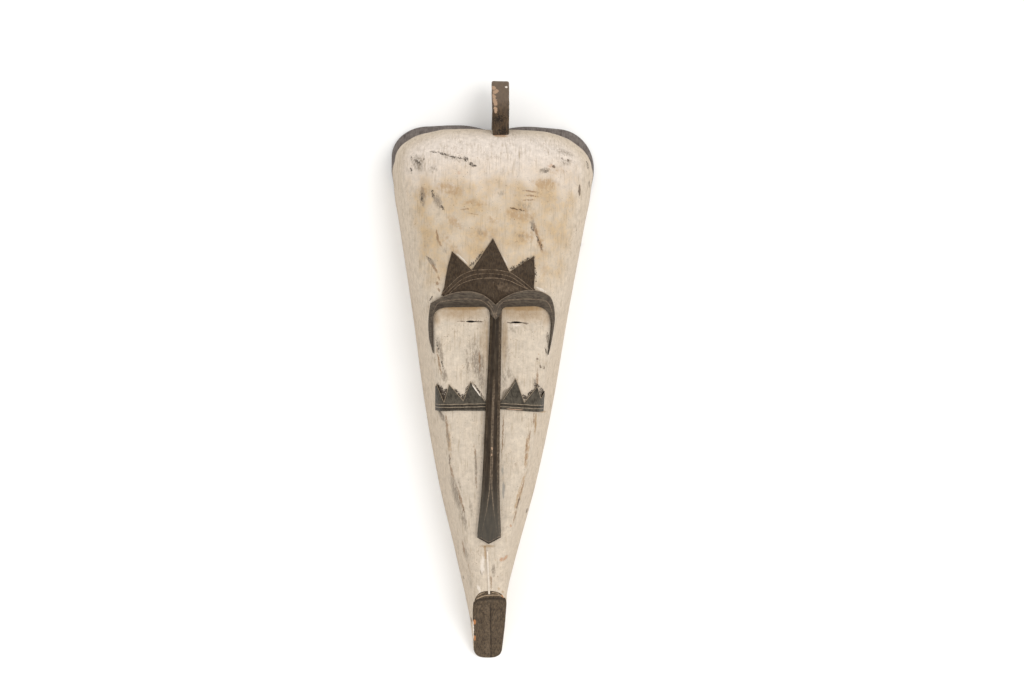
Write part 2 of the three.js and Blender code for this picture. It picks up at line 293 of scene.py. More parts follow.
@dataclass(frozen=True)
class Form:
    """The carved form of the mask without its relief, in millimetres, from the same sizes as its solid."""

    top_edge: float = 347.0
    top_dip: float = 8.0
    top_dip_half_width: float = 28.0
    top_sag: float = 4.0
    right_corner: Point = (89.5, 287.0)
    left_corner: Point = (90.0, 300.0)
    spine_top: float = 215.0
    spine_foot: float = -380.0
    foot_edge: float = -400.6
    foot_squareness: float = 2.8
    rim_heights: tuple[float, ...] = (0.0, 1.0, 4.0, 8.0, 11.0, 14.0, 16.5, 19.0)
    rim_shares: tuple[float, ...] = (0.94, 1.0, 1.0, 1.0, 0.85, 0.65, 0.35, 0.0)
    rim_taper: Point = (0.4, 5.0)
    least_row_share: float = 0.02
    top_wall_lean: float = 4.0
    half_width: Stations = Stations((
        (300, 142.2), (284, 142.2), (262, 139), (240, 136.4), (215, 131.5), (185, 126.4), (73, 107.7),
        (-39, 90.7), (-151, 69), (-263, 40.8), (-319, 28.2), (-380, 20.6),
    ))
    base_sway: Stations = Stations(((-290, 0), (-319, 1.1), (-347, 3.4), (-380, 4.5)))
    front_sway: Stations = Stations(((-222, 0), (-245, 1.2), (-295, 5), (-313, 6), (-380, 6)))
    ridge: Stations = Stations((
        (215, 121), (150, 107), (110, 96), (66, 81.5), (27, 77), (-10, 68.5), (-65, 60), (-135, 49),
        (-222, 31.5), (-245, 27), (-282, 22), (-313, 22), (-380, 19),
    ))
    ridge_height: Stations = Stations((
        (215, 147), (150, 146), (110, 141), (86, 135), (66, 132), (27, 130), (-10, 128), (-65, 124),
        (-135, 117), (-222, 108), (-282, 101), (-313, 97), (-380, 88),
    ))
    front_height: Stations = Stations((
        (215, 153.5), (150, 153), (106, 147), (86, 132), (66, 130), (27, 129), (-10, 128), (-65, 126),
        (-135, 121), (-222, 115), (-282, 107), (-313, 103), (-380, 94),
    ))
    wall_straight: Stations = Stations((
        (215, 0.32), (150, 0.4), (110, 0.55), (86, 0.72), (66, 0.82), (27, 0.85), (-282, 0.84), (-380, 0.88),
    ))
    face_rounded: Stations = Stations((
        (215, 0.85), (150, 0.8), (110, 0.6), (86, 0.3), (66, 0.15), (27, 0.16), (-65, 0.25), (-222, 0.4),
        (-282, 0.5), (-380, 0.55),
    ))
    rim_step: Stations = Stations((
        (4, 0), (20, 2.2), (29, 4.6), (36, 9.4), (42, 13.7), (50, 15.3), (60, 10.6), (75, 10.3), (90, 11.8),
    ))

    def edge(self, foot: float, foot_length: float, steps: Steps) -> Edge:
        """Lays out the foot of the wall, anticlockwise from the lower end of the right side.

        Args:
            foot: the lower end of the spine.
            foot_length: how far the wall reaches below it.
            steps: the steps of each stretch.

        Returns:
            The points of the edge.
        """
        rows = np.linspace(foot, self.spine_top, steps.lower + 1)
        right, left = self._top(self.right_corner, steps), self._top(self.left_corner, steps)
        left[0] *= -1
        end = self._end(foot, foot_length, steps.foot)
        right_side, left_side = self._side(rows, 1), self._side(rows[::-1], -1)
        return Edge(*np.hstack((right_side, right, left[:, -2::-1], left_side, end)))

    def _top(self, corner: Point, steps: Steps) -> np.ndarray:
        """Lays out half of the edge round the dome as if on the right side, from the wall to the middle.

        Args:
            corner: the middle of the curve that rounds the upper corner.
            steps: the steps of each stretch.

        Returns:
            For each point its x and y, its spine point's x and y, the lean of the wall and the rim's width.
        """
        side = np.linspace(self.spine_top, corner[1], steps.side + 1)[1:]
        turn = np.linspace(0, math.pi / 2, steps.corner + 1)[1:]
        across = corner[0] * (1 - np.arange(1, steps.top + 1) / steps.top)
        round_x = corner[0] + (self.half_width.at(corner[1]) - corner[0]) * np.cos(turn)
        round_y = corner[1] + (self.top_edge - self.top_sag - corner[1]) * np.sin(turn)
        x = np.concatenate((self.half_width.at(side), round_x, across))
        sag = self.top_sag * (across / corner[0]) ** 2
        y = np.concatenate((side, round_y, self.top_edge - sag - self.dip(across)))
        angle = np.arctan2(y - self.spine_top, x)
        side_lean = self.half_width.at(self.spine_top) - self.ridge.at(self.spine_top)
        lean = side_lean + (self.top_wall_lean - side_lean) * np.sin(angle) ** 2
        rim = self.rim_step.at(np.degrees(angle)) - self.dip(x)
        zero = np.zeros(len(x))
        return np.array([x, y, zero, zero + self.spine_top, lean, rim])

    def dip(self, x: np.ndarray) -> np.ndarray:
        """How far the rim dips near the middle of its top edge."""
        return self.top_dip * np.exp(-((x / self.top_dip_half_width) ** 2))

    def _side(self, rows: np.ndarray, sign: int) -> np.ndarray:
        """Lays out one side of the edge below the spine's upper end.

        Args:
            rows: the places along the mask.
            sign: 1 for the right side, -1 for the left one.

        Returns:
            The same values as for the upper half.
        """
        x = self.base_sway.at(rows) + sign * self.half_width.at(rows)
        spine = self.front_sway.at(rows)
        lean = np.abs(x - spine) - self.ridge.at(rows)
        return np.array([x, rows, spine, rows, lean, np.zeros(len(rows))])

    def _end(self, foot: float, length: float, count: int) -> np.ndarray:
        """Lays out the squarish lower end of the edge.

        Args:
            foot: the lower end of the spine.
            length: how far the wall reaches below it.
            count: the number of steps.

        Returns:
            The same values as for the upper half.
        """
        angle = math.pi * (1 + np.arange(1, count) / count)
        half, power = self.half_width.at(foot), 2 / self.foot_squareness
        x = self.base_sway.at(foot) + half * np.sign(np.cos(angle)) * np.abs(np.cos(angle)) ** power
        y = foot - length * np.abs(np.sin(angle)) ** power
        same = np.ones(len(x))
        lean = half - self.ridge.at(foot)
        return np.array([x, y, same * self.front_sway.at(foot), same * foot, same * lean, same * 0])

    def rim_rows(self, edge: Edge) -> list[np.ndarray]:
        """Heights of the rows over the rim.

        They close up where the rim runs out, so that its stain ends in a point.

        Args:
            edge: the foot of the wall.

        Returns:
            The heights along the edge, row by row from the foot.
        """
        share = np.maximum(ease(edge.rim, *self.rim_taper), self.least_row_share)
        return [height * share for height in self.rim_heights]

    def rings(self, edge: Edge, grow: float, steps: Steps, shows_rim: bool) -> np.ndarray:
        """Places of the surface, ring by ring from the foot of the wall to the spine.

        Args:
            edge: the foot of the wall.
            grow: how far the surface lies outside the body.
            steps: the steps of each stretch.
            shows_rim: whether the rim stands out.

        Returns:
            An array of rings, each with one place for every point of the edge.
        """
        rim = np.maximum(edge.rim, 0)
        foot = edge.reach - rim + grow
        ridge = foot - edge.lean
        ridge_height = self.ridge_height.at(edge.spine_y) + grow
        front_height = self.front_height.at(edge.spine_y) + grow
        lean = edge.lean / ridge_height
        drop = (front_height - ridge_height) / ridge ** 2
        shown = rim if shows_rim else rim * 0
        height = self.rim_rows(edge)
        rim_top = height[-1]
        wall_top = ridge_height * self.wall_straight.at(edge.spine_y)
        height += [rim_top + share * (wall_top - rim_top)
                   for share in np.arange(1, steps.wall + 1) / steps.wall]
        reach = [foot - lean * z + shown * np.interp(z, self.rim_heights, self.rim_shares) for z in height]
        inner = ridge * (1 - self.face_rounded.at(edge.spine_y))
        slope = -2 * drop * inner
        stop = front_height - drop * inner ** 2
        bend = (stop + slope * (foot - inner)) / (1 + slope * lean)
        for t in np.arange(1, steps.round + 1) / steps.round:
            mix = ((1 - t) ** 2, 2 * t * (1 - t), t ** 2)
            reach.append(mix[0] * reach[len(self.rim_heights) + steps.wall - 1]
                         + mix[1] * (foot - lean * bend) + mix[2] * inner)
            height.append(mix[0] * wall_top + mix[1] * bend + mix[2] * stop)
        for share in np.arange(1, steps.face + 1) / steps.face:
            r = inner * (1 - share)
            reach.append(r)
            height.append(front_height - drop * r ** 2)
        out = np.array(reach) / edge.reach
        x = edge.spine_x + out * (edge.x - edge.spine_x)
        y = edge.spine_y + out * (edge.y - edge.spine_y)
        return np.stack((x, y, np.array(height)), axis=-1)

    def surface(self, x: np.ndarray, y: np.ndarray, grow: np.ndarray) -> np.ndarray:
        """Height of the body, or of a layer over it, below the upper end of the spine.

        Args:
            x: places across the mask.
            y: places along it.
            grow: how far the layer lies outside the body at each place.

        Returns:
            The heights.
        """
        spine = self.front_sway.at(y)
        side = np.where(x >= spine, 1.0, -1.0)
        r = np.abs(x - spine)
        reach = np.abs(self.base_sway.at(y) + side * self.half_width.at(y) - spine)
        lean = reach - self.ridge.at(y)
        foot = reach + grow
        ridge = foot - lean
        ridge_height = self.ridge_height.at(y) + grow
        front_height = self.front_height.at(y) + grow
        drop = (front_height - ridge_height) / ridge ** 2
        wall = np.maximum(foot - r, 0) * ridge_height / lean
        inner = ridge * (1 - self.face_rounded.at(y))
        slope = -2 * drop * inner
        stop = front_height - drop * inner ** 2
        start = ridge_height * self.wall_straight.at(y)
        bend = (stop + slope * (foot - inner)) / (1 + slope * lean / ridge_height)
        start_r = foot - lean * start / ridge_height
        bend_r = foot - lean * bend / ridge_height
        a, b, c = start_r - 2 * bend_r + inner, 2 * (bend_r - start_r), start_r - r
        root = np.sqrt(np.maximum(b * b - 4 * a * c, 0))
        t = np.clip(2 * c / np.maximum(root - b, 1e-9), 0, 1)
        rounded = (1 - t) ** 2 * start + 2 * t * (1 - t) * bend + t ** 2 * stop
        front = front_height - drop * r ** 2
        return np.where(r <= inner, front, np.where(r >= start_r, wall, rounded))


FORM = Form()


def wrapped_grid(places: np.ndarray, finishes: np.ndarray | None = None) -> Shape:
    """Bends a grid into a closed tube of rings and welds its seam.

    Args:
        places: an array of rings, each with the same number of places, in millimetres.
        finishes: the number of the finish between each ring and the next, at each place round it.

    Returns:
        The mesh, with its ends open unless their rings close on themselves.
    """
    rows, columns = places.shape[:2]
    mesh = bmesh.new()
    bmesh.ops.create_grid(mesh, x_segments=columns, y_segments=rows - 1, size=1)
    if finishes is not None:
        for face in mesh.faces:
            centre = face.calc_center_median()
            column = int((centre.x + 1) / 2 * columns)
            face.material_index = int(finishes[int((centre.y + 1) / 2 * (rows - 1)), column])
    for vert in mesh.verts:
        column = round((vert.co.x + 1) / 2 * columns) % columns
        row = round((vert.co.y + 1) / 2 * (rows - 1))
        vert.co = places[row, column]
    bmesh.ops.remove_doubles(mesh, verts=mesh.verts, dist=WELD_GAP)
    bmesh.ops.dissolve_degenerate(mesh, edges=mesh.edges, dist=WELD_GAP / 2)
    return mesh


def everything(shape: Shape) -> list:
    """All the corners, edges and faces of a shape, for an operator that takes them together."""
    return shape.verts[:] + shape.edges[:] + shape.faces[:]


def slice_up(shape: Shape, axis: int, places: Iterable[float]) -> None:
    """Cuts a shape across one axis, without taking it apart.

    Args:
        shape: the shape.
        axis: 0, 1 or 2 for x, y or z.
        places: where the cuts cross that axis.
    """
    normal = Vector((axis == 0, axis == 1, axis == 2))
    for place in places:
        bmesh.ops.bisect_plane(shape, geom=everything(shape), dist=CUT_GAP,
                               plane_co=normal * place, plane_no=normal)


def thicken(shape: Shape, way: tuple[float, float, float]) -> None:
    """Draws a flat shape out into a block.

    Args:
        shape: the flat shape.
        way: how far its second side lies from its first.
    """
    grown = bmesh.ops.extrude_face_region(shape, geom=shape.faces[:])["geom"]
    corners = [item for item in grown if isinstance(item, bmesh.types.BMVert)]
    bmesh.ops.translate(shape, vec=way, verts=corners)


def cut_plate(outline: np.ndarray, cell: float) -> Shape:
    """Makes a flat plate of small cells with an outline, one millimetre thick.

    Args:
        outline: the points of the outline, in millimetres.
        cell: the size of its cells.

    Returns:
        The plate, with its underside at height 0 and its top at height 1.
    """
    plate = bmesh.new()
    plate.faces.new([plate.verts.new((x, y, 0)) for x, y in outline])
    for axis in (0, 1):
        low, high = outline[:, axis].min(), outline[:, axis].max()
        count = math.ceil((high - low) / cell)
        slice_up(plate, axis, (low + (high - low) * k / count for k in range(1, count)))
    thicken(plate, (0, 0, 1))
    bmesh.ops.recalc_face_normals(plate, faces=plate.faces[:])
    return plate


def finish_piece(name: str, shape: Shape, materials: list[Material], sharp: float = SHARP_ANGLE) -> Object:
    """Turns a shape drawn in millimetres into an object that stands for the mask's solid.

    Args:
        name: the piece's name.
        shape: the shape, which is used up.
        materials: its materials.
        sharp: the angle in degrees from which an edge stays sharp.

    Returns:
        The object, at the origin.
    """
    bmesh.ops.scale(shape, vec=(MM, MM, MM), verts=shape.verts)
    mesh = bpy.data.meshes.new(name)
    shape.to_mesh(mesh)
    shape.free()
    for material in materials:
        mesh.materials.append(material)
    mesh.shade_smooth()
    mesh.set_sharp_from_angle(angle=math.radians(sharp))
    piece = bpy.data.objects.new(name, mesh)
    bpy.context.scene.collection.objects.link(piece)
    return piece


def attach(piece: Object) -> None:
    """Joins a finished piece to the mask's body and reports it.

    Args:
        piece: the piece.
    """
    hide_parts(NODE)
    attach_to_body(piece, "root")
    log.info("%s: %d faces", piece.name, len(piece.data.polygons))


def places_in_mm(mesh: Mesh) -> np.ndarray:
    """Reads the places of a mesh's corners.

    Args:
        mesh: the mesh.

    Returns:
        The places in millimetres, one in each row.
    """
    places = np.zeros(len(mesh.vertices) * 3)
    mesh.vertices.foreach_get("co", places)
    return places.reshape(-1, 3) / MM


def write_wear_and_light(mesh: Mesh, worn: np.ndarray, domain: str = "POINT") -> None:
    """Stores for a mesh's finish how worn each place is, from -1 for soot and painted shade to 1 for bare
    wood and painted highlight.
    """
    mesh.attributes.new(WEAR_AND_LIGHT, "FLOAT", domain).data.foreach_set("value", worn)


class Tint(Enum):
    """What stains or shows through the whitened wood, and the painted shade and painted highlight laid over
    it.
    """

    OCHRE = "#9d7f5c"
    OIL = "#8e6f45"
    ASH = "#83807a"
    SMUDGE = "#7a6e60"
    BROWN = "#785a3c"
    SOOT = "#41382f"
    RUST = "#a46f47"
    CRACK = "#4a3828"
    CHALK = "#d8cdc0"
    CHARCOAL = "#241c15"
    WOOD = "#a0846c"


@dataclass(frozen=True)
class Mark:
    """A stain, scratch or chip, in millimetres: its middle, half its length and width, and its turn.

    The turn is in degrees. It goes right through the piece, or down and up from its height by its depth.
    """

    tint: Tint
    x: float
    y: float
    length: float
    width: float
    turn: float
    strength: float
    z: float = 0.0
    depth: float = 1e5

    @property
    def spread(self) -> float:
        """How far it may reach along the mask, with its uneven edge."""
        return MARK_LENGTHS * self.length + MARK_MARGIN


def marks_of(tint: Tint, *rows: tuple[float, ...]) -> tuple[Mark, ...]:
    """Makes marks of one tint.

    Args:
        tint: what they show.
        rows: the other values of each mark, in the order that a mark names them.

    Returns:
        The marks.
    """
    return tuple(Mark(tint, *row) for row in rows)


def start_material(name: str) -> tuple[Material, Node, Socket]:
    """Starts a material whose patterns are laid out in millimetres.

    Args:
        name: the material's name.

    Returns:
        The material, its shader, and the place on the surface in millimetres.
    """
    material = bpy.data.materials.new(name)
    material.use_nodes = True
    tree = material.node_tree
    origin = add_node(tree, "TexCoord")["Object"]
    place = add_node(tree, "VectorMath", {"operation": "SCALE"}, {0: origin, "Scale": 1 / MM})[0]
    return material, tree.nodes["Principled BSDF"], place


def wander(tree: Tree, place: Socket, size: float, reach: float) -> Socket:
    """Moves a place about by noise, which gives the marks laid out there their uneven edges.

    Args:
        tree: the material's node tree.
        place: the place on the surface.
        size: the size of the noise.
        reach: how far it moves a place at most.

    Returns:
        The moved place.
    """
    shift = add_node(tree, "TexNoise", {}, {"Vector": place, "Scale": 1 / size, "Detail": 3.0})[1]
    shift = add_node(tree, "VectorMath", {"operation": "MULTIPLY_ADD"}, {
        0: shift, 1: (2 * reach, 2 * reach, 0), 2: (-reach, -reach, 0),
    })[0]
    return add_node(tree, "VectorMath", {"operation": "ADD"}, {0: place, 1: shift})[0]


def mark_cover(tree: Tree, place: Socket, marks: list[Mark]) -> Socket:
    """How strongly a group of marks covers each place of a surface.

    Args:
        tree: the material's node tree.
        place: the place on the surface.
        marks: the marks.

    Returns:
        A value that is below 0 away from every mark.
    """
    cover: Socket | None = None
    for mark in marks:
        inside = add_node(tree, "Mapping", {"vector_type": "TEXTURE"}, {
            "Vector": place,
            "Location": (mark.x, mark.y, mark.z),
            "Rotation": (0, 0, math.radians(mark.turn)),
            "Scale": (mark.length + MARK_EDGE, mark.width + MARK_EDGE, mark.depth),
        })[0]
        away = add_node(tree, "VectorMath", {"operation": "DOT_PRODUCT"}, {0: inside, 1: inside})["Value"]
        share = add_node(tree, "Math", {"operation": "MULTIPLY_ADD"}, {
            0: away, 1: -mark.strength, 2: MARK_REACH * mark.strength,
        })[0]
        if cover is None:
            cover = share
        else:
            cover = add_node(tree, "Math", {"operation": "MAXIMUM"}, {0: cover, 1: share})[0]
    assert cover is not None
    return cover


class Stretch(Enum):
    """Stretches of the mask from its foot to its top, each with the place where it ends.

    Each has its own kaolin, so that no material carries more marks than a shader can hold.
    """

    CHIN = -235.0
    SNOUT = -50.0
    CHEEKS = 60.0
    BROWS = 150.0
    FOREHEAD = 240.0
    DOME = 420.0

    @property
    def start(self) -> float:
        """Place where the stretch starts."""
        below = [stretch.value for stretch in Stretch if stretch.value < self.value]
        return max(below, default=-Stretch.DOME.value)

    def marks(self) -> tuple[Mark, ...]:
        """The marks that reach into the stretch."""
        return tuple(mark for mark in KAOLIN_MARKS
                     if self.start < mark.y + mark.spread and mark.y - mark.spread < self.value)


@dataclass(frozen=True)
class Break:
    """How noise breaks up marks: its size, where their edge falls, and how opaque and rough they are."""

    across: float
    along: float
    low: float
    high: float
    most: float
    rough: float = 1.0


BREAKS = {
    Tint.OCHRE: Break(5.0, 6.0, 0.08, 1.3, 0.65, 1.5),
    Tint.OIL: Break(7.0, 9.0, 0.0, 1.25, 0.85, 0.25),
    Tint.ASH: Break(1.6, 12.0, 0.12, 0.95, 0.7),
    Tint.SMUDGE: Break(1.6, 4.5, 0.12, 1.15, 0.8, 1.2),
    Tint.BROWN: Break(1.7, 6.0, 0.15, 1.0, 0.7, 1.2),
    Tint.SOOT: Break(1.5, 2.4, 0.5, 1.25, 0.97, 1.6),
    Tint.RUST: Break(3.0, 3.0, 0.1, 1.0, 0.6),
    Tint.CRACK: Break(1.3, 4.0, 0.2, 0.9, 0.8, 1.2),
    Tint.CHALK: Break(3.0, 8.0, 0.2, 0.9, 0.8),
}


@dataclass(frozen=True)
class KaolinWash:
    """Kaolin rubbed over bare wood: a dry, matt white that ochre, grain and dirt show through.

    The sizes of its patterns are in millimetres. Real brush fibres are half as wide as the ones drawn here,
    and real specks of dirt too, because finer ones would not show at the camera's distance.
    """

    name: str = "kaolin_wash_on_wood"
    # Whiter on top of the dome: whiter clay, and painted light where the top faces the light.
    chalk: str = "#d1c5b9"
    cream: str = "#c3b6a5"
    warm: str = "#b39a78"
    grain: str = "#9a8973"
    wall: str = "#c1b29f"
    dirt: str = "#7d6853"
    chalk_and_light_from: Point = (205.0, 275.0)
    warm_from: Point = (95.0, 150.0)
    warm_until: Point = (300.0, 235.0)
    wall_until: Point = (88.0, 126.0)
    cloud: float = 28.0
    mottle: float = 7.0
    fibre: tuple[float, float, float] = (1.9, 26.0, 12.0)
    fibre_area: float = 19.0
    speck: float = 3.4
    brush: tuple[float, float, float] = (1.2, 18.0, 3.0)
    pit: float = 4.0
    relief: float = 0.35
    roughness: float = 0.86
    specular: float = 0.25
    marks: tuple[Mark, ...] = ()

    def make(self) -> Material:
        """Builds the material.

        Returns:
            The material.
        """
        material, shader, place = start_material(self.name)
        tree = material.node_tree
        clouds = add_node(tree, "TexNoise", {}, {
            "Vector": place, "Scale": 1 / self.cloud, "Detail": 6.0, "Roughness": 0.7,
        })[0]
        colour = self._ground(tree, place, clouds)
        for share, code in ((self._streaks(tree, place), self.grain),
                            (self._specks(tree, place, clouds), self.dirt)):
            colour = add_node(tree, "Mix", COLOURS, {0: share, 6: colour, 7: linear(code)})[2]
        set_inputs(shader, {
            "Base Color": self._stains(tree, place, colour),
            "Roughness": self.roughness,
            "Specular IOR Level": self.specular,
            "Normal": self._relief(tree, place),
        })
        return material

    def _ground(self, tree: Tree, place: Socket, clouds: Socket) -> Socket:
        """Colour of the kaolin: whiter on top of the dome, partly whiter clay and partly painted light where
        the top faces the light, warmer on the forehead, greyer on the walls.

        Args:
            tree: the material's node tree.
            place: the place on the surface.
            clouds: the noise that breaks up the warm patches.

        Returns:
            The colour.
        """
        axes = add_node(tree, "SeparateXYZ", {}, {0: place})
        shares = [add_node(tree, "MapRange", SMOOTH, {
            "Value": axes[axis], "From Min": span[0], "From Max": span[1], "To Min": least,
        })[0] for axis, span, least in (
            ("Y", self.chalk_and_light_from, 0.0), ("Y", self.warm_until, 0.0), ("Y", self.warm_from, 0.12),
            ("Z", self.wall_until, 0.0),
        )]
        front = shares[-1]
        patch = add_node(tree, "MapRange", SMOOTH, {
            "Value": clouds, "From Min": 0.36, "From Max": 0.66, "To Min": 0.25, "To Max": 0.95,
        })[0]
        for share in shares[1:]:
            patch = add_node(tree, "Math", {"operation": "MULTIPLY"}, {0: patch, 1: share})[0]
        side = add_node(tree, "Math", {"operation": "SUBTRACT"}, {0: 1.0, 1: front})[0]
        colour = linear(self.cream)
        for share, code in ((shares[0], self.chalk), (patch, self.warm), (side, self.wall)):
            colour = add_node(tree, "Mix", COLOURS, {0: share, 6: colour, 7: linear(code)})[2]
        light = add_node(tree, "TexNoise", {}, {
            "Vector": place, "Scale": 1 / self.mottle, "Detail": 6.0, "Roughness": 0.74,
        })[0]
        light = add_node(tree, "MapRange", {}, {
            "Value": light, "From Min": 0.3, "From Max": 0.7, "To Min": 0.78, "To Max": 1.16,
        })[0]
        light = add_node(tree, "CombineXYZ", {}, {0: light, 1: light, 2: light})[0]
        return add_node(tree, "Mix", COLOURS | {"blend_type": "MULTIPLY"}, {0: 1.0, 6: colour, 7: light})[2]

    def _streaks(self, tree: Tree, place: Socket) -> Socket:
        """Upright wood grain that shows through in places.

        Args:
            tree: the material's node tree.
            place: the place on the surface.

        Returns:
            How strongly the grain shows.
        """
        fibres = add_node(tree, "VectorMath", {"operation": "MULTIPLY"}, {
            0: place, 1: tuple(1 / size for size in self.fibre),
        })[0]
        lines = add_node(tree, "TexNoise", {}, {
            "Vector": fibres, "Scale": 1.0, "Detail": 4.0, "Roughness": 0.65,
        })[0]
        lines = add_node(tree, "MapRange", SMOOTH, {
            "Value": lines, "From Min": 0.46, "From Max": 0.74, "To Max": 0.75,
        })[0]
        areas = add_node(tree, "TexNoise", {}, {
            "Vector": place, "Scale": 1 / self.fibre_area, "Detail": 2.0,
        })[0]
        areas = add_node(tree, "MapRange", SMOOTH, {
            "Value": areas, "From Min": 0.38, "From Max": 0.62, "To Min": 0.3,
        })[0]
        return add_node(tree, "Math", {"operation": "MULTIPLY"}, {0: lines, 1: areas})[0]

    def _specks(self, tree: Tree, place: Socket, clouds: Socket) -> Socket:
        """Specks of dirt, closer together in some places.

        Args:
            tree: the material's node tree.
            place: the place on the surface.
            clouds: the noise that gathers them.

        Returns:
            How strongly the dirt shows.
        """
        specks = add_node(tree, "TexNoise", {}, {
            "Vector": place, "Scale": 1 / self.speck, "Detail": 3.0, "Roughness": 0.7,
        })[0]
        specks = add_node(tree, "Math", {"operation": "MULTIPLY_ADD"}, {0: clouds, 1: 0.6, 2: specks})[0]
        return add_node(tree, "MapRange", SMOOTH, {
            "Value": specks, "From Min": 0.9, "From Max": 1.08, "To Max": 0.5,
        })[0]

    def _stains(self, tree: Tree, place: Socket, colour: Socket) -> Socket:
        """Lays the marks over the colour.

        Args:
            tree: the material's node tree.
            place: the place on the surface.
            colour: the colour under the marks.

        Returns:
            The colour with the marks.
        """
        moved = wander(tree, place, 5.0, 1.5)
        for tint, broken in BREAKS.items():
            marks = [mark for mark in self.marks if mark.tint is tint]
            if not marks:
                continue
            cover = mark_cover(tree, moved, marks)
            grit = add_node(tree, "VectorMath", {"operation": "MULTIPLY"}, {
                0: place, 1: (1 / broken.across, 1 / broken.along, 1 / broken.across),
            })[0]
            grit = add_node(tree, "TexNoise", {}, {
                "Vector": grit, "Scale": 1.0, "Detail": 4.0, "Roughness": 0.65,
            })[0]
            grit = add_node(tree, "Math", {"operation": "MULTIPLY_ADD"}, {
                0: grit, 1: 3.2 * broken.rough, 2: 0.9 - 1.6 * broken.rough,
            })[0]
            cover = add_node(tree, "Math", {"operation": "MULTIPLY"}, {0: cover, 1: grit})[0]
            cover = add_node(tree, "MapRange", SMOOTH, {
                "Value": cover, "From Min": broken.low, "From Max": broken.high, "To Max": broken.most,
            })[0]
            colour = add_node(tree, "Mix", COLOURS, {0: cover, 6: colour, 7: linear(tint.value)})[2]
        return colour

    def _relief(self, tree: Tree, place: Socket) -> Socket:
        """Dry brushed surface: fine upright fibres and small pits.

        Args:
            tree: the material's node tree.
            place: the place on the surface.

        Returns:
            The way that the surface faces.
        """
        brushed = add_node(tree, "VectorMath", {"operation": "MULTIPLY"}, {
            0: place, 1: tuple(1 / size for size in self.brush),
        })[0]
        brushed = add_node(tree, "TexNoise", {}, {
            "Vector": brushed, "Scale": 1.0, "Detail": 4.0, "Roughness": 0.6,
        })[0]
        pits = add_node(tree, "TexNoise", {}, {
            "Vector": place, "Scale": 1 / self.pit, "Detail": 5.0, "Roughness": 0.7,
        })[0]
        height = add_node(tree, "Math", {"operation": "MULTIPLY_ADD"}, {0: pits, 1: 1.4, 2: brushed})[0]
        return add_node(tree, "Bump", {}, {
            "Strength": 0.35, "Distance": self.relief * MM, "Height": height,
        })[0]


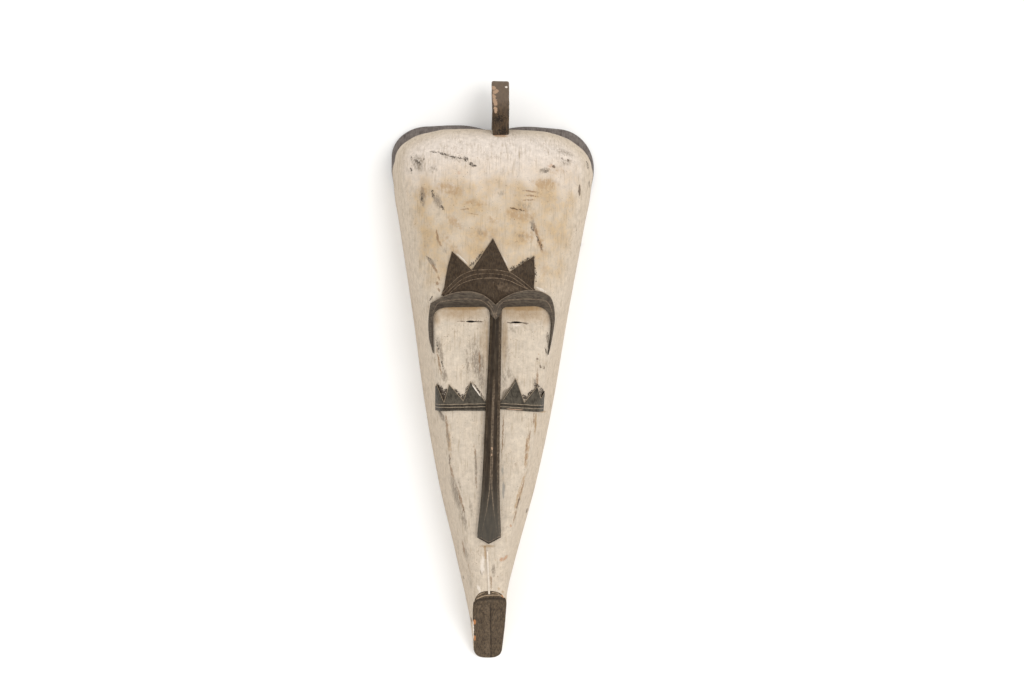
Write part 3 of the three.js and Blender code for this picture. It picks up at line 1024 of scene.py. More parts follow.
@dataclass(frozen=True)
class DarkStain:
    """Wood stained dark with charcoal and oil: dull, with dust in its hollows and bare wood at its edges.

    The sizes of its patterns are in millimetres. Its fibres are drawn a little coarser than the real ones,
    because finer ones would not show at the camera's distance.
    """

    name: str
    stain: str
    deep: str
    dust: str
    dust_share: float
    worn: str = "#85725f"
    fibre: Point = (1.6, 20.0)
    fibre_depth: float = 6.0
    film: float = 9.0
    grit: float = 3.2
    flake: float = 2.2
    relief: float = 0.4
    fade: str = ""
    fade_span: Point = (0.0, 0.0)
    fade_share: float = 0.5
    roughness: float = 0.62
    specular: float = 0.12
    warp: float = 2.0
    ragged: float = 0.0
    marks: tuple[Mark, ...] = ()

    def make(self) -> Material:
        """Builds the material.

        Returns:
            The material.
        """
        material, shader, place = start_material(self.name)
        tree = material.node_tree
        fibres = add_node(tree, "VectorMath", {"operation": "MULTIPLY"}, {
            0: place, 1: tuple(1 / size for size in (*self.fibre, self.fibre_depth)),
        })[0]
        grain = add_node(tree, "TexNoise", {}, {
            "Vector": fibres, "Scale": 1.0, "Detail": 5.0, "Roughness": 0.65,
        })[0]
        grit = add_node(tree, "TexNoise", {}, {
            "Vector": place, "Scale": 1 / self.grit, "Detail": 4.0, "Roughness": 0.6,
        })[0]
        colour = linear(self.deep)
        for share, code in self._layers(tree, place, grain, grit):
            colour = add_node(tree, "Mix", COLOURS, {0: share, 6: colour, 7: linear(code)})[2]
        height = add_node(tree, "Math", {"operation": "ADD"}, {0: grain, 1: grit})[0]
        set_inputs(shader, {
            "Base Color": self._chips(tree, place, colour) if self.marks else colour,
            "Roughness": self.roughness,
            "Specular IOR Level": self.specular,
            "Normal": add_node(tree, "Bump", {}, {
                "Strength": 0.4, "Distance": self.relief * MM, "Height": height,
            })[0],
        })
        return material

    def _layers(self, tree: Tree, place: Socket, grain: Socket, grit: Socket) -> list[tuple[Socket, str]]:
        """Layers over the deep colour: stain, dust, fading towards one end, sooty darkening with painted
        shade, and bare wood where worn, with painted highlight.

        Args:
            tree: the material's node tree.
            place: the place on the surface.
            grain: the noise of the wood's fibres.
            grit: the noise that breaks up the bare and highlighted places.

        Returns:
            For each layer how strongly it covers the ones below it, and its colour.
        """
        stain = add_node(tree, "MapRange", SMOOTH, {"Value": grain, "From Min": 0.38, "From Max": 0.62})[0]
        dust = add_node(tree, "TexNoise", {}, {
            "Vector": place, "Scale": 1 / self.film, "Detail": 7.0, "Roughness": 0.72,
        })[0]
        dust = add_node(tree, "MapRange", SMOOTH, {
            "Value": dust, "From Min": 0.36, "From Max": 0.7, "To Max": self.dust_share,
        })[0]
        layers = [(stain, self.stain), (dust, self.dust)]
        if self.fade:
            along = add_node(tree, "SeparateXYZ", {}, {0: place})["Y"]
            faded = add_node(tree, "MapRange", SMOOTH, {
                "Value": along, "From Min": self.fade_span[0], "From Max": self.fade_span[1],
                "To Max": self.fade_share,
            })[0]
            layers.append((faded, self.fade))
        wear_and_light = add_node(tree, "Attribute", {"attribute_name": WEAR_AND_LIGHT})["Fac"]
        # Below 0 the attribute paints soot, and painted shade under the mouth's lip, in its groove, under the
        # nose's tip and on the brows.
        soot_and_shade = add_node(tree, "MapRange", {}, {
            "Value": wear_and_light, "From Min": 0.0, "From Max": -1.0, "To Max": 0.9,
        })[0]
        # Above 0 it paints bare wood, and in the mouth's groove a painted highlight.
        rubbed_and_lit = add_node(tree, "Math", {"operation": "MULTIPLY_ADD"}, {0: grit, 1: 1.5, 2: 0.2})[0]
        rubbed_and_lit = add_node(tree, "Math", {"operation": "MULTIPLY"}, {0: rubbed_and_lit, 1: wear_and_light})[0]
        rubbed_and_lit = add_node(tree, "MapRange", SMOOTH, {"Value": rubbed_and_lit, "From Min": 0.25, "From Max": 0.9})[0]
        return [*layers, (soot_and_shade, Tint.CHARCOAL.value), (rubbed_and_lit, self.worn)]

    def _chips(self, tree: Tree, place: Socket, colour: Socket) -> Socket:
        """Lays the marks over the colour.

        Args:
            tree: the material's node tree.
            place: the place on the surface.
            colour: the colour under the marks.

        Returns:
            The colour with the marks.
        """
        moved = wander(tree, place, 4.0, self.warp)
        for tint in Tint:
            marks = [mark for mark in self.marks if mark.tint is tint]
            if not marks:
                continue
            cover = mark_cover(tree, moved, marks)
            if self.ragged:
                flakes = add_node(tree, "TexNoise", {}, {
                    "Vector": place, "Scale": 1 / self.flake, "Detail": 4.0, "Roughness": 0.7,
                })[0]
                flakes = add_node(tree, "Math", {"operation": "SUBTRACT"}, {0: flakes, 1: 0.5})[0]
                cover = add_node(tree, "Math", {"operation": "MULTIPLY_ADD"}, {
                    0: flakes, 1: self.ragged, 2: cover,
                })[0]
            cover = add_node(tree, "MapRange", SMOOTH, {"Value": cover, "From Min": 0.3, "From Max": 0.5})[0]
            colour = add_node(tree, "Mix", COLOURS, {0: cover, 6: colour, 7: linear(tint.value)})[2]
        return colour


@dataclass(frozen=True)
class BareWood:
    """The unfinished back: light hardwood browned by handling, with gouge marks."""

    name: str = "gouged_bare_wood"
    pale: str = "#9c7a55"
    dark: str = "#6b4f36"
    fibre: tuple[float, float, float] = (2.0, 45.0, 9.0)
    gouge: tuple[float, float, float] = (9.0, 26.0, 12.0)
    relief: float = 0.5
    roughness: float = 0.75

    def make(self) -> Material:
        """Builds the material.

        Returns:
            The material.
        """
        material, shader, place = start_material(self.name)
        tree = material.node_tree
        grain, cuts = (add_node(tree, "VectorMath", {"operation": "MULTIPLY"}, {
            0: place, 1: tuple(1 / size for size in sizes),
        })[0] for sizes in (self.fibre, self.gouge))
        grain = add_node(tree, "TexNoise", {}, {
            "Vector": grain, "Scale": 1.0, "Detail": 5.0, "Roughness": 0.6,
        })[0]
        cuts = add_node(tree, "TexVoronoi", {"feature": "SMOOTH_F1"}, {"Vector": cuts, "Scale": 1.0})[0]
        tone = add_node(tree, "Math", {"operation": "MULTIPLY_ADD"}, {0: cuts, 1: 0.4, 2: grain})[0]
        tone = add_node(tree, "MapRange", SMOOTH, {"Value": tone, "From Min": 0.4, "From Max": 0.95})[0]
        height = add_node(tree, "Math", {"operation": "MULTIPLY_ADD"}, {0: cuts, 1: 3.0, 2: grain})[0]
        set_inputs(shader, {
            "Base Color": add_node(tree, "Mix", COLOURS, {
                0: tone, 6: linear(self.pale), 7: linear(self.dark),
            })[2],
            "Roughness": self.roughness,
            "Normal": add_node(tree, "Bump", {}, {
                "Strength": 0.6, "Distance": self.relief * MM, "Height": height,
            })[0],
        })
        return material


KAOLIN_MARKS = (
    # The long scratch across the upper left of the dome.
    *marks_of(Tint.SOOT, (-81.5, 294, 6.5, 1.1, -12, 1), (-68, 291, 9.5, 1.7, -17, 1.1),
              (-50.5, 286, 12, 1.2, -9, 0.95), (-37.5, 284, 4.5, 3.5, -50, 1.1),
              (-28.5, 276, 6, 2.6, -25, 1.1)),
    *marks_of(Tint.SMUDGE, (-56, 286, 21, 4, -14, 0.6)),
    # Rubbed corners of the dome.
    *marks_of(Tint.SMUDGE, (-101, 278.5, 14.5, 9.5, -70, 0.75), (-80.5, 270, 6.5, 6.5, 0, 0.55),
              (93.5, 298, 18.5, 4.5, -14, 0.6), (96, 284, 10.5, 6, 20, 0.6), (66.5, 270.5, 8, 4, 8, 0.85)),
    *marks_of(Tint.SOOT, (-101.5, 280, 8, 2.9, -38, 0.85), (-110, 270, 8, 1.7, -82, 0.8),
              (-93, 285.5, 5.5, 1.6, -85, 0.75), (-110.5, 287, 5.5, 1.6, -80, 0.7),
              (68.5, 269.5, 6, 1.7, 10, 0.8), (132.5, 307.5, 7, 2.3, -62, 0.9),
              (127.5, 284.5, 7, 2.4, -80, 0.9)),
    *marks_of(Tint.CRACK, (79, 276.5, 2.5, 2, -20, 1.1), (91, 289, 2.1, 1.3, -60, 0.9),
              (99, 287, 1.9, 1.6, -40, 0.8), (115.5, 248.5, 8, 1.3, -88, 1.2),
              (131.5, 260.5, 5, 1, -88, 0.9)),
    *marks_of(Tint.RUST, (75.5, 277.5, 4.5, 2.7, 10, 0.55)),
    # Ochre that comes through the white.
    *marks_of(Tint.OCHRE, (-57.5, 243, 20, 8.5, -12, 0.85), (-93, 239, 12, 6.5, -60, 0.7),
              (67.5, 252.5, 20, 8.5, 2, 0.85), (82.5, 272, 16, 6.5, -2, 0.5), (8, 319, 11, 1.9, -4, 1.3)),
    *marks_of(Tint.RUST, (8, 320, 11, 1.1, -2, 0.7), (-46, 265, 2.9, 2.1, 60, 0.6)),
    # Dark streaks on the forehead.
    *marks_of(Tint.SMUDGE, (-94, 233.5, 14.5, 4, -86, 0.95), (-74.5, 228.5, 16, 5.5, -62, 0.85),
              (41.5, 222.5, 16, 4, -20, 0.5), (9.5, 239, 6.5, 3.5, 0, 0.55), (-17, 187, 5.5, 4, -60, 0.6),
              (37, 183, 8, 2.9, -10, 0.6), (52.5, 197.5, 10.5, 3.5, -78, 0.95)),
    *marks_of(Tint.SOOT, (-95, 233.5, 8, 1.3, -88, 0.9), (-80.5, 237.5, 6.5, 2.1, -80, 1),
              (-67, 219, 6.5, 2.6, -50, 0.8), (51.5, 192.5, 5.5, 1.8, -60, 0.8),
              (60, 178, 7.5, 1.5, -68, 0.9), (64.5, 169, 5.5, 1.3, -80, 0.9)),
    # Brown lines and streaks.
    *marks_of(Tint.BROWN, (-73.5, 181, 9, 1.2, -82, 1.1), (-70, 171.5, 5.5, 1.2, -70, 0.9),
              (56.5, 190, 10.5, 2.1, -75, 0.8), (62, 174, 13, 2.6, -72, 0.9), (49, 242, 12, 0.9, -6, 0.9),
              (50.5, 236, 12, 0.9, -3, 0.8), (45.5, 230.5, 10.5, 0.9, 2, 0.7), (-36, 217, 9, 0.8, 4, 0.7),
              (-25.5, 210.5, 8, 0.8, -8, 0.6)),
    *marks_of(Tint.CRACK, (27.5, 218.5, 6.5, 0.7, -10, 0.95), (37, 217, 5.5, 0.7, -12, 0.8)),
    # Ochre that comes through the white.
    *marks_of(Tint.OCHRE, (-23, 225, 18.5, 4, -4, 0.75), (-50.5, 199.5, 14.5, 6.5, -38, 0.75),
              (-0.3, 203, 9, 5.5, -20, 0.75), (35, 211.5, 21, 10.5, -8, 0.9), (62, 178, 26.5, 6.5, -70, 0.7),
              (-12, 184.5, 19.5, 10.5, 8, 0.6), (45, 183, 12, 10.5, 0, 0.75), (-62, 178.5, 12, 8, -60, 0.5)),
    # Stain that ran over the edges of the crown.
    *marks_of(Tint.SOOT, (-41.5, 148.5, 10.5, 1.4, -42, 0.8), (-18, 155.5, 12, 1.7, 57, 1),
              (-27, 144.5, 6.5, 2.4, 45, 0.9), (-59, 134, 18.5, 1.2, 80, 0.9), (40, 148.5, 16, 2, 35, 1),
              (26.5, 140.5, 5.5, 2.6, 30, 1), (54, 155, 4, 2.6, 60, 0.9), (57.5, 132, 16, 1.2, -88, 0.8),
              (-81, 98, 6.5, 1.3, 60, 0.9), (54.5, 103, 10.5, 1.3, -31, 0.6)),
    # Kaolin left white beside the crown and the right brow, also painted highlight along the edges that face
    # the light.
    *marks_of(Tint.CHALK, (-39, 150.5, 13, 0.4, -42, 1), (65, 113, 9.5, 1.2, -24, 1.2),
              (17, 149.5, 9, 0.4, -62, 0.6)),
    # Dark smears and brown lines beside it.
    *marks_of(Tint.SMUDGE, (-81.5, 148, 10.5, 2.6, -48, 0.95), (-63, 161.5, 6.5, 2.6, -60, 0.5)),
    *marks_of(Tint.SOOT, (-84.5, 153, 5.5, 1.1, -40, 0.9)),
    *marks_of(Tint.BROWN, (-76.5, 139, 8, 1.7, -62, 0.9), (-71, 127, 4, 1.3, -70, 0.9),
              (-72.5, 119, 2.6, 1.6, -60, 0.9), (-70, 110, 3.5, 1.3, -60, 0.8)),
    *marks_of(Tint.OCHRE, (-49.5, 164, 12, 5.5, -40, 0.6), (69.5, 139, 6.5, 16, 0, 0.4)),
    # Ochre-brown under the brows, inside their tails and along the nose: partly old oil, partly painted shade
    # under the brows' overhang and beside the raised nose.
    *marks_of(Tint.OIL, (-40.5, 88, 44, 6, 1, 1.1), (41, 88.5, 40, 6, -1, 1.1), (-42, 82, 48, 14, 1, 0.66),
              (40, 82, 50, 14, -1, 0.66), (-73, 74, 15, 7, -80, 0.55), (74, 76, 14, 7, -100, 0.55),
              (-5.5, 45, 45, 2.6, -88, 0.6), (-9, 38, 52, 7, -87, 0.45), (18, 48, 44, 5, -90, 0.6)),
    # Closed corners of the eyes.
    *marks_of(Tint.CRACK, (-16.5, 69.5, 6.5, 0.7, -4, 0.9), (-40, 69, 6.5, 0.5, 0, 0.6),
              (45.5, 68, 5.5, 0.5, -4, 0.9), (24.5, 68.5, 4, 0.5, -8, 0.8)),
    # A painted highlight along the lower lid of the right eye.
    *marks_of(Tint.CHALK, (33, 65.5, 6.5, 0.7, -2, 0.9)),
    # Grey rubbing on the cheeks.
    *marks_of(Tint.SMUDGE, (-17, 13.5, 25, 9.5, -83, 0.9), (-22, 26, 34, 13.5, -86, 0.5),
              (-30.5, 14, 22.5, 2.4, -86, 0.7), (-12.5, -6, 18.5, 5, -80, 0.75), (21, 28, 30, 5.5, -85, 0.4),
              (29, 59, 6.5, 2.7, -45, 0.55), (26, 0, 13, 5, -62, 0.55), (18.5, -7, 12, 3.5, -80, 0.6)),
    *marks_of(Tint.BROWN, (-14.5, 16, 17, 1.1, -87, 0.85)),
    # Worn ridges between the cheeks and the walls.
    *marks_of(Tint.SMUDGE, (-66.5, 29.5, 22.5, 3, -78, 0.9), (-61, -2.5, 12, 4, -80, 0.85),
              (60, -14, 12, 2.4, -85, 0.8), (76, 45, 13.5, 1.7, -78, 0.9)),
    *marks_of(Tint.SOOT, (-71, 36, 12, 1.1, -78, 0.9), (-64, 12, 9.5, 1.1, -78, 0.9),
              (76.5, 52, 6.5, 0.9, -80, 0.9), (73.5, 32, 5.5, 0.8, -72, 0.9)),
    *marks_of(Tint.BROWN, (-68.5, 14.5, 21.5, 1.1, -80, 0.9), (62.5, -8.5, 17.5, 1.3, -90, 1)),
    *marks_of(Tint.CRACK, (62, 21, 1.9, 1.2, -80, 0.7), (66.5, 11, 2.4, 1.3, -80, 0.75),
              (71.5, 9.5, 2.1, 1.1, -86, 0.7), (116.5, 89, 3, 1, -99, 1.1), (126, 181, 3, 1.2, -99, 1.1),
              (104.5, -3.5, 3.5, 1.1, -103, 1.1)),
    # Stain that was brushed past the teeth of the cheek bands.
    *marks_of(Tint.SOOT, (-65, -24.5, 9, 4, -68, 1.9), (-60.5, -29, 9, 4.2, 78, 2.1),
              (-36, -31.5, 5, 4, 20, 1.6), (-43, -26, 8, 2.2, -50, 1.25), (-31, -22, 9, 2, 70, 1.15),
              (-15.6, -21.6, 14, 0.8, -53, 1.4), (47, -31, 6.5, 3.5, -30, 1.5), (54.5, -24.5, 8, 3, 52, 1.3),
              (70, -25, 9, 4.5, -68, 1.5), (62.5, -14.5, 6, 3, -30, 1.05), (-65.5, -54, 5.5, 1.6, -50, 0.9)),
    *marks_of(Tint.SMUDGE, (20.5, -25, 8, 4, 60, 1.1), (-64, -58, 8, 3, -60, 1.2)),
    *marks_of(Tint.BROWN, (-57, -68, 16, 1.2, -84, 0.9), (59.5, -58, 9.5, 0.9, -88, 0.8)),
    *marks_of(Tint.OIL, (62, -66.5, 17.5, 1.5, -91, 0.9), (70, -50.5, 11, 1.2, -14, 0.8)),
    # Worn ridges between the face and the walls.
    *marks_of(Tint.OCHRE, (-53.5, -89, 26.5, 3.5, -85, 0.8), (51, -101, 26.5, 3, -94, 1.1),
              (42.5, -160, 32, 2.9, -105, 1.1)),
    *marks_of(Tint.SMUDGE, (-55, -85, 18.5, 1.9, -84, 0.7), (-43, -161.5, 29.5, 5.5, -74, 0.9),
              (-31.5, -196.5, 18.5, 4, -76, 0.7), (-17, -126, 26.5, 1.7, -88, 0.85),
              (-22.5, -181, 18.5, 2.4, -80, 0.5), (-38, -150.5, 16, 1.6, -76, 0.6)),
    *marks_of(Tint.CRACK, (-52.5, -116, 8.5, 0.9, -84, 0.8), (41, -172.5, 10.5, 0.9, -104, 0.7),
              (55.5, -192.5, 3.5, 0.8, -98, 1.1)),
    *marks_of(Tint.BROWN, (-49.5, -132, 12, 1.3, -78, 0.9), (-36, -171, 21.5, 1.6, -73, 0.8),
              (-19, -104.5, 12, 1.1, -86, 0.8), (-16.5, -145, 10.5, 1.2, -86, 0.7),
              (50, -102, 21.5, 1.2, -92, 0.7), (54, -82, 8, 0.9, -95, 0.8), (46, -152, 10.5, 0.7, -104, 0.9),
              (36.5, -191.5, 10.5, 0.9, -104, 0.9), (18, -82.5, 34.5, 0.7, -91, 0.9)),
    *marks_of(Tint.SOOT, (-32.5, -181.5, 8, 0.9, -72, 0.8)),
    *marks_of(Tint.ASH, (20.5, -155, 12, 1.3, -90, 1.3), (19, -128, 8, 1.1, -88, 0.8)),
    *marks_of(Tint.RUST, (31, -204, 1.9, 1.6, -33, 0.7)),
    # Brown lines beside the ridge of the chin and under the nose.
    *marks_of(Tint.OIL, (0.4, -231, 11, 2.1, 0, 0.7)),
    *marks_of(Tint.OCHRE, (-2.3, -240, 12.5, 1.2, -87, 1.3)),
    *marks_of(Tint.BROWN, (6, -281, 10.5, 0.7, -87, 1), (-31.5, -238, 13.5, 1.1, -80, 0.9),
              (-24, -264, 12, 0.9, -76, 0.5)),
    # Grey rubbing and white patches on the chin.
    *marks_of(Tint.SMUDGE, (9, -263.5, 9.5, 2.4, -86, 0.9), (-7, -266.5, 6.5, 1.2, -86, 0.9),
              (-28, -245, 13.5, 4.5, -76, 0.6), (-22, -283, 13.5, 3.5, -78, 0.45)),
    *marks_of(Tint.CHALK, (-6, -258, 16, 3, -88, 0.9), (-10, -291, 8, 2.2, -70, 0.8)),
    *marks_of(Tint.RUST, (19.5, -249, 3, 2.3, 60, 0.8), (26, -247, 3.5, 2.3, 50, 0.8),
              (23, -249, 3, 1.6, 60, 0.8)),
    *marks_of(Tint.OCHRE, (18.5, -291, 6.5, 1.9, -40, 1)),
    *marks_of(Tint.SOOT, (-31, -286, 3, 0.8, -81, 1.1)),
    *marks_of(Tint.CRACK, (-19, -344.5, 4.5, 0.9, -86, 1.1)),
)

NOSE_MARKS = (
    # Bare wood where the ridge was knocked.
    *marks_of(Tint.WOOD, (3.9, -98.5, 1.7, 0.6, -80, 1), (3.6, -107, 1.2, 0.4, -80, 0.7)),
)

BROW_MARKS = (
    # The darker root of the brows.
    *marks_of(Tint.SOOT, (5.4, 87, 10, 10, 0, 0.33)),
)

BAND_CHIPS = (
    # Kaolin left on the flank of one tooth, which faces the light and is also painted highlight, and the worn
    # lower edge of the right band.
    *marks_of(Tint.CHALK, (-18.3, -22.2, 9.5, 0.35, -53, 1.1)),
    *marks_of(Tint.WOOD, (33, -46.6, 15, 0.4, -3, 0.5)),
)

MOUTH_MARKS = (
    # Bare wood in the corner of the lip, chips on the left edge, and kaolin that ran over it.
    *marks_of(Tint.RUST, (22.8, -300.6, 3.4, 0.9, -50, 0.9), (-14.8, -342, 3.5, 1.6, -86, 1),
              (-14.1, -368, 4.5, 1.2, -85, 0.8)),
    *marks_of(Tint.CHALK, (-16.4, -355, 18, 0.5, -88, 0.6)),
)

CREST_MARKS = (
    # Bare wood where the stain has come off, a fleck of kaolin and a darker foot.
    *marks_of(Tint.WOOD, (-1.4, 388.5, 3.2, 3, 0, 0.8, 77, 15), (1.2, 382.5, 4.6, 2.8, 35, 0.8, 83, 13),
              (-1.6, 376, 6, 2.2, -75, 0.75, 91, 12), (0.4, 366, 8, 2.6, -82, 0.8, 99, 15),
              (0.8, 355, 5, 1.9, -88, 0.8, 106, 12)),
    *marks_of(Tint.CHALK, (15.2, 390.3, 1.6, 1, 20, 1, 75, 10)),
    *marks_of(Tint.CHARCOAL, (6, 343, 11, 6.5, 20, 0.4), (12, 325, 10, 6, 0, 0.4)),
)


@dataclass
class Finishes:
    """All the finishes of the mask, made once."""

    kaolin: list[Material] = field(init=False)
    ridge_kaolin: Material = field(init=False)
    rim: Material = field(init=False)
    back: Material = field(init=False)
    crown: Material = field(init=False)
    brow: Material = field(init=False)
    nose: Material = field(init=False)
    band: Material = field(init=False)
    mouth: Material = field(init=False)
    crest: Material = field(init=False)

    def __post_init__(self) -> None:
        """Makes the materials."""
        # White clay rubbed on by hand: quite dull, and so thin that grain, ochre and dirt come through.
        self.kaolin = [KaolinWash(name=f"kaolin_wash_{stretch.name.lower()}", marks=stretch.marks()).make()
                       for stretch in Stretch]
        # The same clay polished by handling: a paler, cleaner line down the chin.
        self.ridge_kaolin = KaolinWash(name="rubbed_kaolin_ridge", cream="#d8cdc0", warm="#c8b8a2").make()
        # Charcoal stain greyed by dust: a flat, cool grey band under the warm white.
        self.rim = DarkStain("dark_stained_rim", "#6b635e", "#4c4440", "#847c76", 0.5).make()
        # Hardwood left as the gouge cut it: brown, with long grain and rows of shallow scoops.
        self.back = BareWood().make()
        # Charcoal stain on a field cut across the grain: a warm near-black with a mottled bloom of dust.
        self.crown = DarkStain("dark_stained_crown", "#423425", "#291f16", "#524639", 0.4,
                               fibre=(1.6, 4.0)).make()
        # The same stain under more dust: a greyer, paler brown with streaks that run across the face.
        self.brow = DarkStain("dusty_stained_brow", "#554b3f", "#39302a", "#655c4f", 0.45, fibre=(7.0, 1.3),
                              marks=BROW_MARKS).make()
        # Stain along the grain: dark strips that lead down to a duller, greyer tip.
        self.nose = DarkStain("dark_stained_nose", "#3f3326", "#241b13", "#50473b", 0.35, "#82715f", warp=0.4,
                              fade="#524f48", fade_span=(-110.0, -205.0), marks=NOSE_MARKS).make()
        # A cooler and thinner stain, rubbed through to pale wood along the teeth and the cut lines.
        self.band = DarkStain("dark_stained_cheek_band", "#4a443a", "#2d2821", "#60594e", 0.45, "#9b8a75",
                              fibre=(1.6, 4.0), warp=0.6, marks=BAND_CHIPS).make()
        # Stain soaked into a slanting cut: a brown with strong light and dark fibres and a worn lip.
        self.mouth = DarkStain("dark_stained_mouth", "#5c4c3a", "#2a2118", "#6f5f4d", 0.45, "#9d8870",
                               fibre=(1.0, 6.0), warp=1.0, marks=MOUTH_MARKS).make()
        # Weathered stain: brown at its foot, paler and greyer towards its end, with flakes off down to the
        # wood.
        self.crest = DarkStain("weathered_stained_crest", "#4d3c2a", "#2b2118", "#5e4f40", 0.4,
                               fibre=(1.7, 9.0), fade="#7d6c5d", fade_span=(345.0, 374.0), fade_share=0.45,
                               ragged=2.4, marks=CREST_MARKS).make()


@dataclass(frozen=True)
class Groove:
    """A cut line on a raised part, with half its width, its depth, and how worn it is (below 0: sooty, and on
    the brows also painted shade).
    """

    points: tuple[Point, ...]
    half_width: float = 0.9
    depth: float = 0.5
    wear_and_light: float = 1.0
    smooth: bool = True

    def line(self) -> np.ndarray:
        """Points of the line."""
        return smooth_line(self.points) if self.smooth else np.array(self.points, float)


@dataclass
class MouthTool:
    """The cutter of the mouth: its underside is the slanting mouth with its lip and its groove."""

    finish: Material
    top: Point = (-296.0, 102.5)
    foot: Point = (-400.6, 8.0)
    middle: float = 6.0
    half_width: float = 42.0
    past_foot: float = 30.0
    past_top: float = 60.0
    thickness: float = 70.0
    depth: float = 2.5
    groove: Point = (5.7, -306.0)
    groove_drift: float = -0.04
    groove_depth: float = 1.4
    groove_side: float = 9.0
    groove_until: Point = (-396.0, -372.0)
    groove_from: Point = (-314.0, -308.0)
    ripple_depth: float = 0.35
    ripple_turns: tuple[float, float, float] = (0.9, 0.8, 0.09)
    lip_edge: Point = (-0.3, 0.8)
    groove_wall: Point = (0.0, 1.2)
    line_edge: Point = (0.4, 1.0)
    line_fade: Point = (0.4, 1.1)
    wear_until: Point = (-316.0, -309.0)
    # Where and how strongly the mouth is painted: a highlight on the groove's left side, which faces the
    # light, painted shade on the groove's right wall, and a painted shadow under the lip.
    highlight_from: Point = (-9.5, -7.5)
    highlight_until: Point = (-1.2, -0.4)
    groove_shade_until: Point = (0.4, 1.4)
    lip_shadow_from: Point = (-6.0, -1.5)
    lip_shadow_until: Point = (-0.6, 0.4)
    rubbed_and_lit: float = 0.36
    groove_shade: float = 0.7
    lip_shadow: float = 0.75
    line_depth: float = 0.6
    cell: float = 0.9
    lip: tuple[Point, ...] = ((-16, -311), (-12.7, -306.4), (-5.6, -304.3), (3.7, -302.9), (13.3, -302.4),
                              (19.1, -302.6), (24.8, -303.5), (28, -306))
    lines: tuple[Groove, ...] = (
        Groove(((-13, -305.2), (-4.3, -300.4), (3.7, -299), (13.2, -298.4), (18.6, -299.1), (23.6, -301.6)),
               0.6, 0.5, 1.0),
        Groove(((-11.2, -300), (-6.5, -296.2), (-2, -294.8)), 0.5, 0.5, 0.8),
        Groove(((8, -294.4), (15, -295.6), (22, -300.4)), 0.5, 0.5, 0.8),
    )

    def build(self) -> Object:
        """Builds the cutter in place.

        Returns:
            The cutter.
        """
        rise, run = self.top[1] - self.foot[1], self.top[0] - self.foot[0]
        high = math.hypot(run, rise) + self.past_top
        block = cut_plate(np.array([(-self.half_width, -self.past_foot), (self.half_width, -self.past_foot),
                                    (self.half_width, high), (-self.half_width, high)]), self.cell)
        under = [vert for vert in block.verts if vert.co.z < PLATE_MIDDLE]
        places = np.array([vert.co[:2] for vert in under])
        tilt = math.atan2(rise, run)
        depths = self._depth(self.middle + places[:, 0], self.foot[0] + places[:, 1] * math.cos(tilt))
        for vert in block.verts:
            if vert.co.z > PLATE_MIDDLE:
                vert.co.z = self.thickness
        for vert, depth in zip(under, depths):
            vert.co.z = depth
        turn = Matrix.Rotation(tilt, 4, "X")
        turn.translation = (self.middle, *self.foot)
        bmesh.ops.transform(block, matrix=turn, verts=block.verts)
        return finish_piece("mouth_cutter", block, [self.finish])

    def _from_groove(self, x: np.ndarray, y: np.ndarray) -> np.ndarray:
        """How far each place lies to the right of the groove down the middle of the mouth."""
        return x - self.groove[0] - self.groove_drift * (y - self.groove[1])

    def _above_lip(self, x: np.ndarray, y: np.ndarray) -> np.ndarray:
        """How far each place lies above the edge of the lip."""
        return y - np.interp(x, *np.array(self.lip, float).T)

    def _depth(self, x: np.ndarray, y: np.ndarray) -> np.ndarray:
        """Depth of the cut below its slanting plane.

        Args:
            x: places across the mask, seen from the front.
            y: places along it.

        Returns:
            The depth at each place, below 0.
        """
        lip = ease(self._above_lip(x, y), *self.lip_edge)
        off = self._from_groove(x, y)
        across = np.where(off < 0, ease(off, -self.groove_side, 0), 1 - ease(off, *self.groove_wall))
        fade = ease(y, *self.groove_until) * (1 - ease(y, *self.groove_from))
        groove = self.groove_depth * across * fade
        turn, sway, sway_turn = self.ripple_turns
        ripples = self.ripple_depth * np.sin(x * turn + sway * np.sin(y * sway_turn)) * fade
        near = np.min([distance(np.column_stack((x, y)), line.line()) for line in self.lines], axis=0)
        lines = self.line_depth * ease(near, *self.line_edge)
        return -(1 - lip) * (self.depth + groove + ripples) - lip * lines

    def wear_and_light(self, x: np.ndarray, y: np.ndarray) -> np.ndarray:
        """How worn the mouth is: worn along the lines of its lip, with a painted highlight on the groove's
        lit side, painted shade on the groove's other wall and a painted shadow below the overhanging lip.

        Args:
            x: places across the mask.
            y: places along it.

        Returns:
            How worn each place is, below 0 where painted shade and the painted shadow under the lip darken
            it.
        """
        off = self._from_groove(x, y)
        above = self._above_lip(x, y)
        fade = 1 - ease(y, *self.wear_until)
        in_groove = ease(off, *self.highlight_until)
        # A painted highlight on the groove's lit side, then painted shade on its other wall.
        worn = self.rubbed_and_lit * ease(off, *self.highlight_from) * (1 - in_groove) * fade
        worn = worn - self.groove_shade * in_groove * (1 - ease(off, *self.groove_shade_until)) * fade
        # A painted shadow under the overhanging lip.
        below_lip = (1 - ease(above, *self.lip_shadow_until)) * ease(above, *self.lip_shadow_from)
        worn = worn - self.lip_shadow * below_lip
        for line in self.lines:
            share = 1 - ease(distance(np.column_stack((x, y)), line.line()), *self.line_fade)
            worn = worn + (line.wear_and_light - worn) * share
        return worn


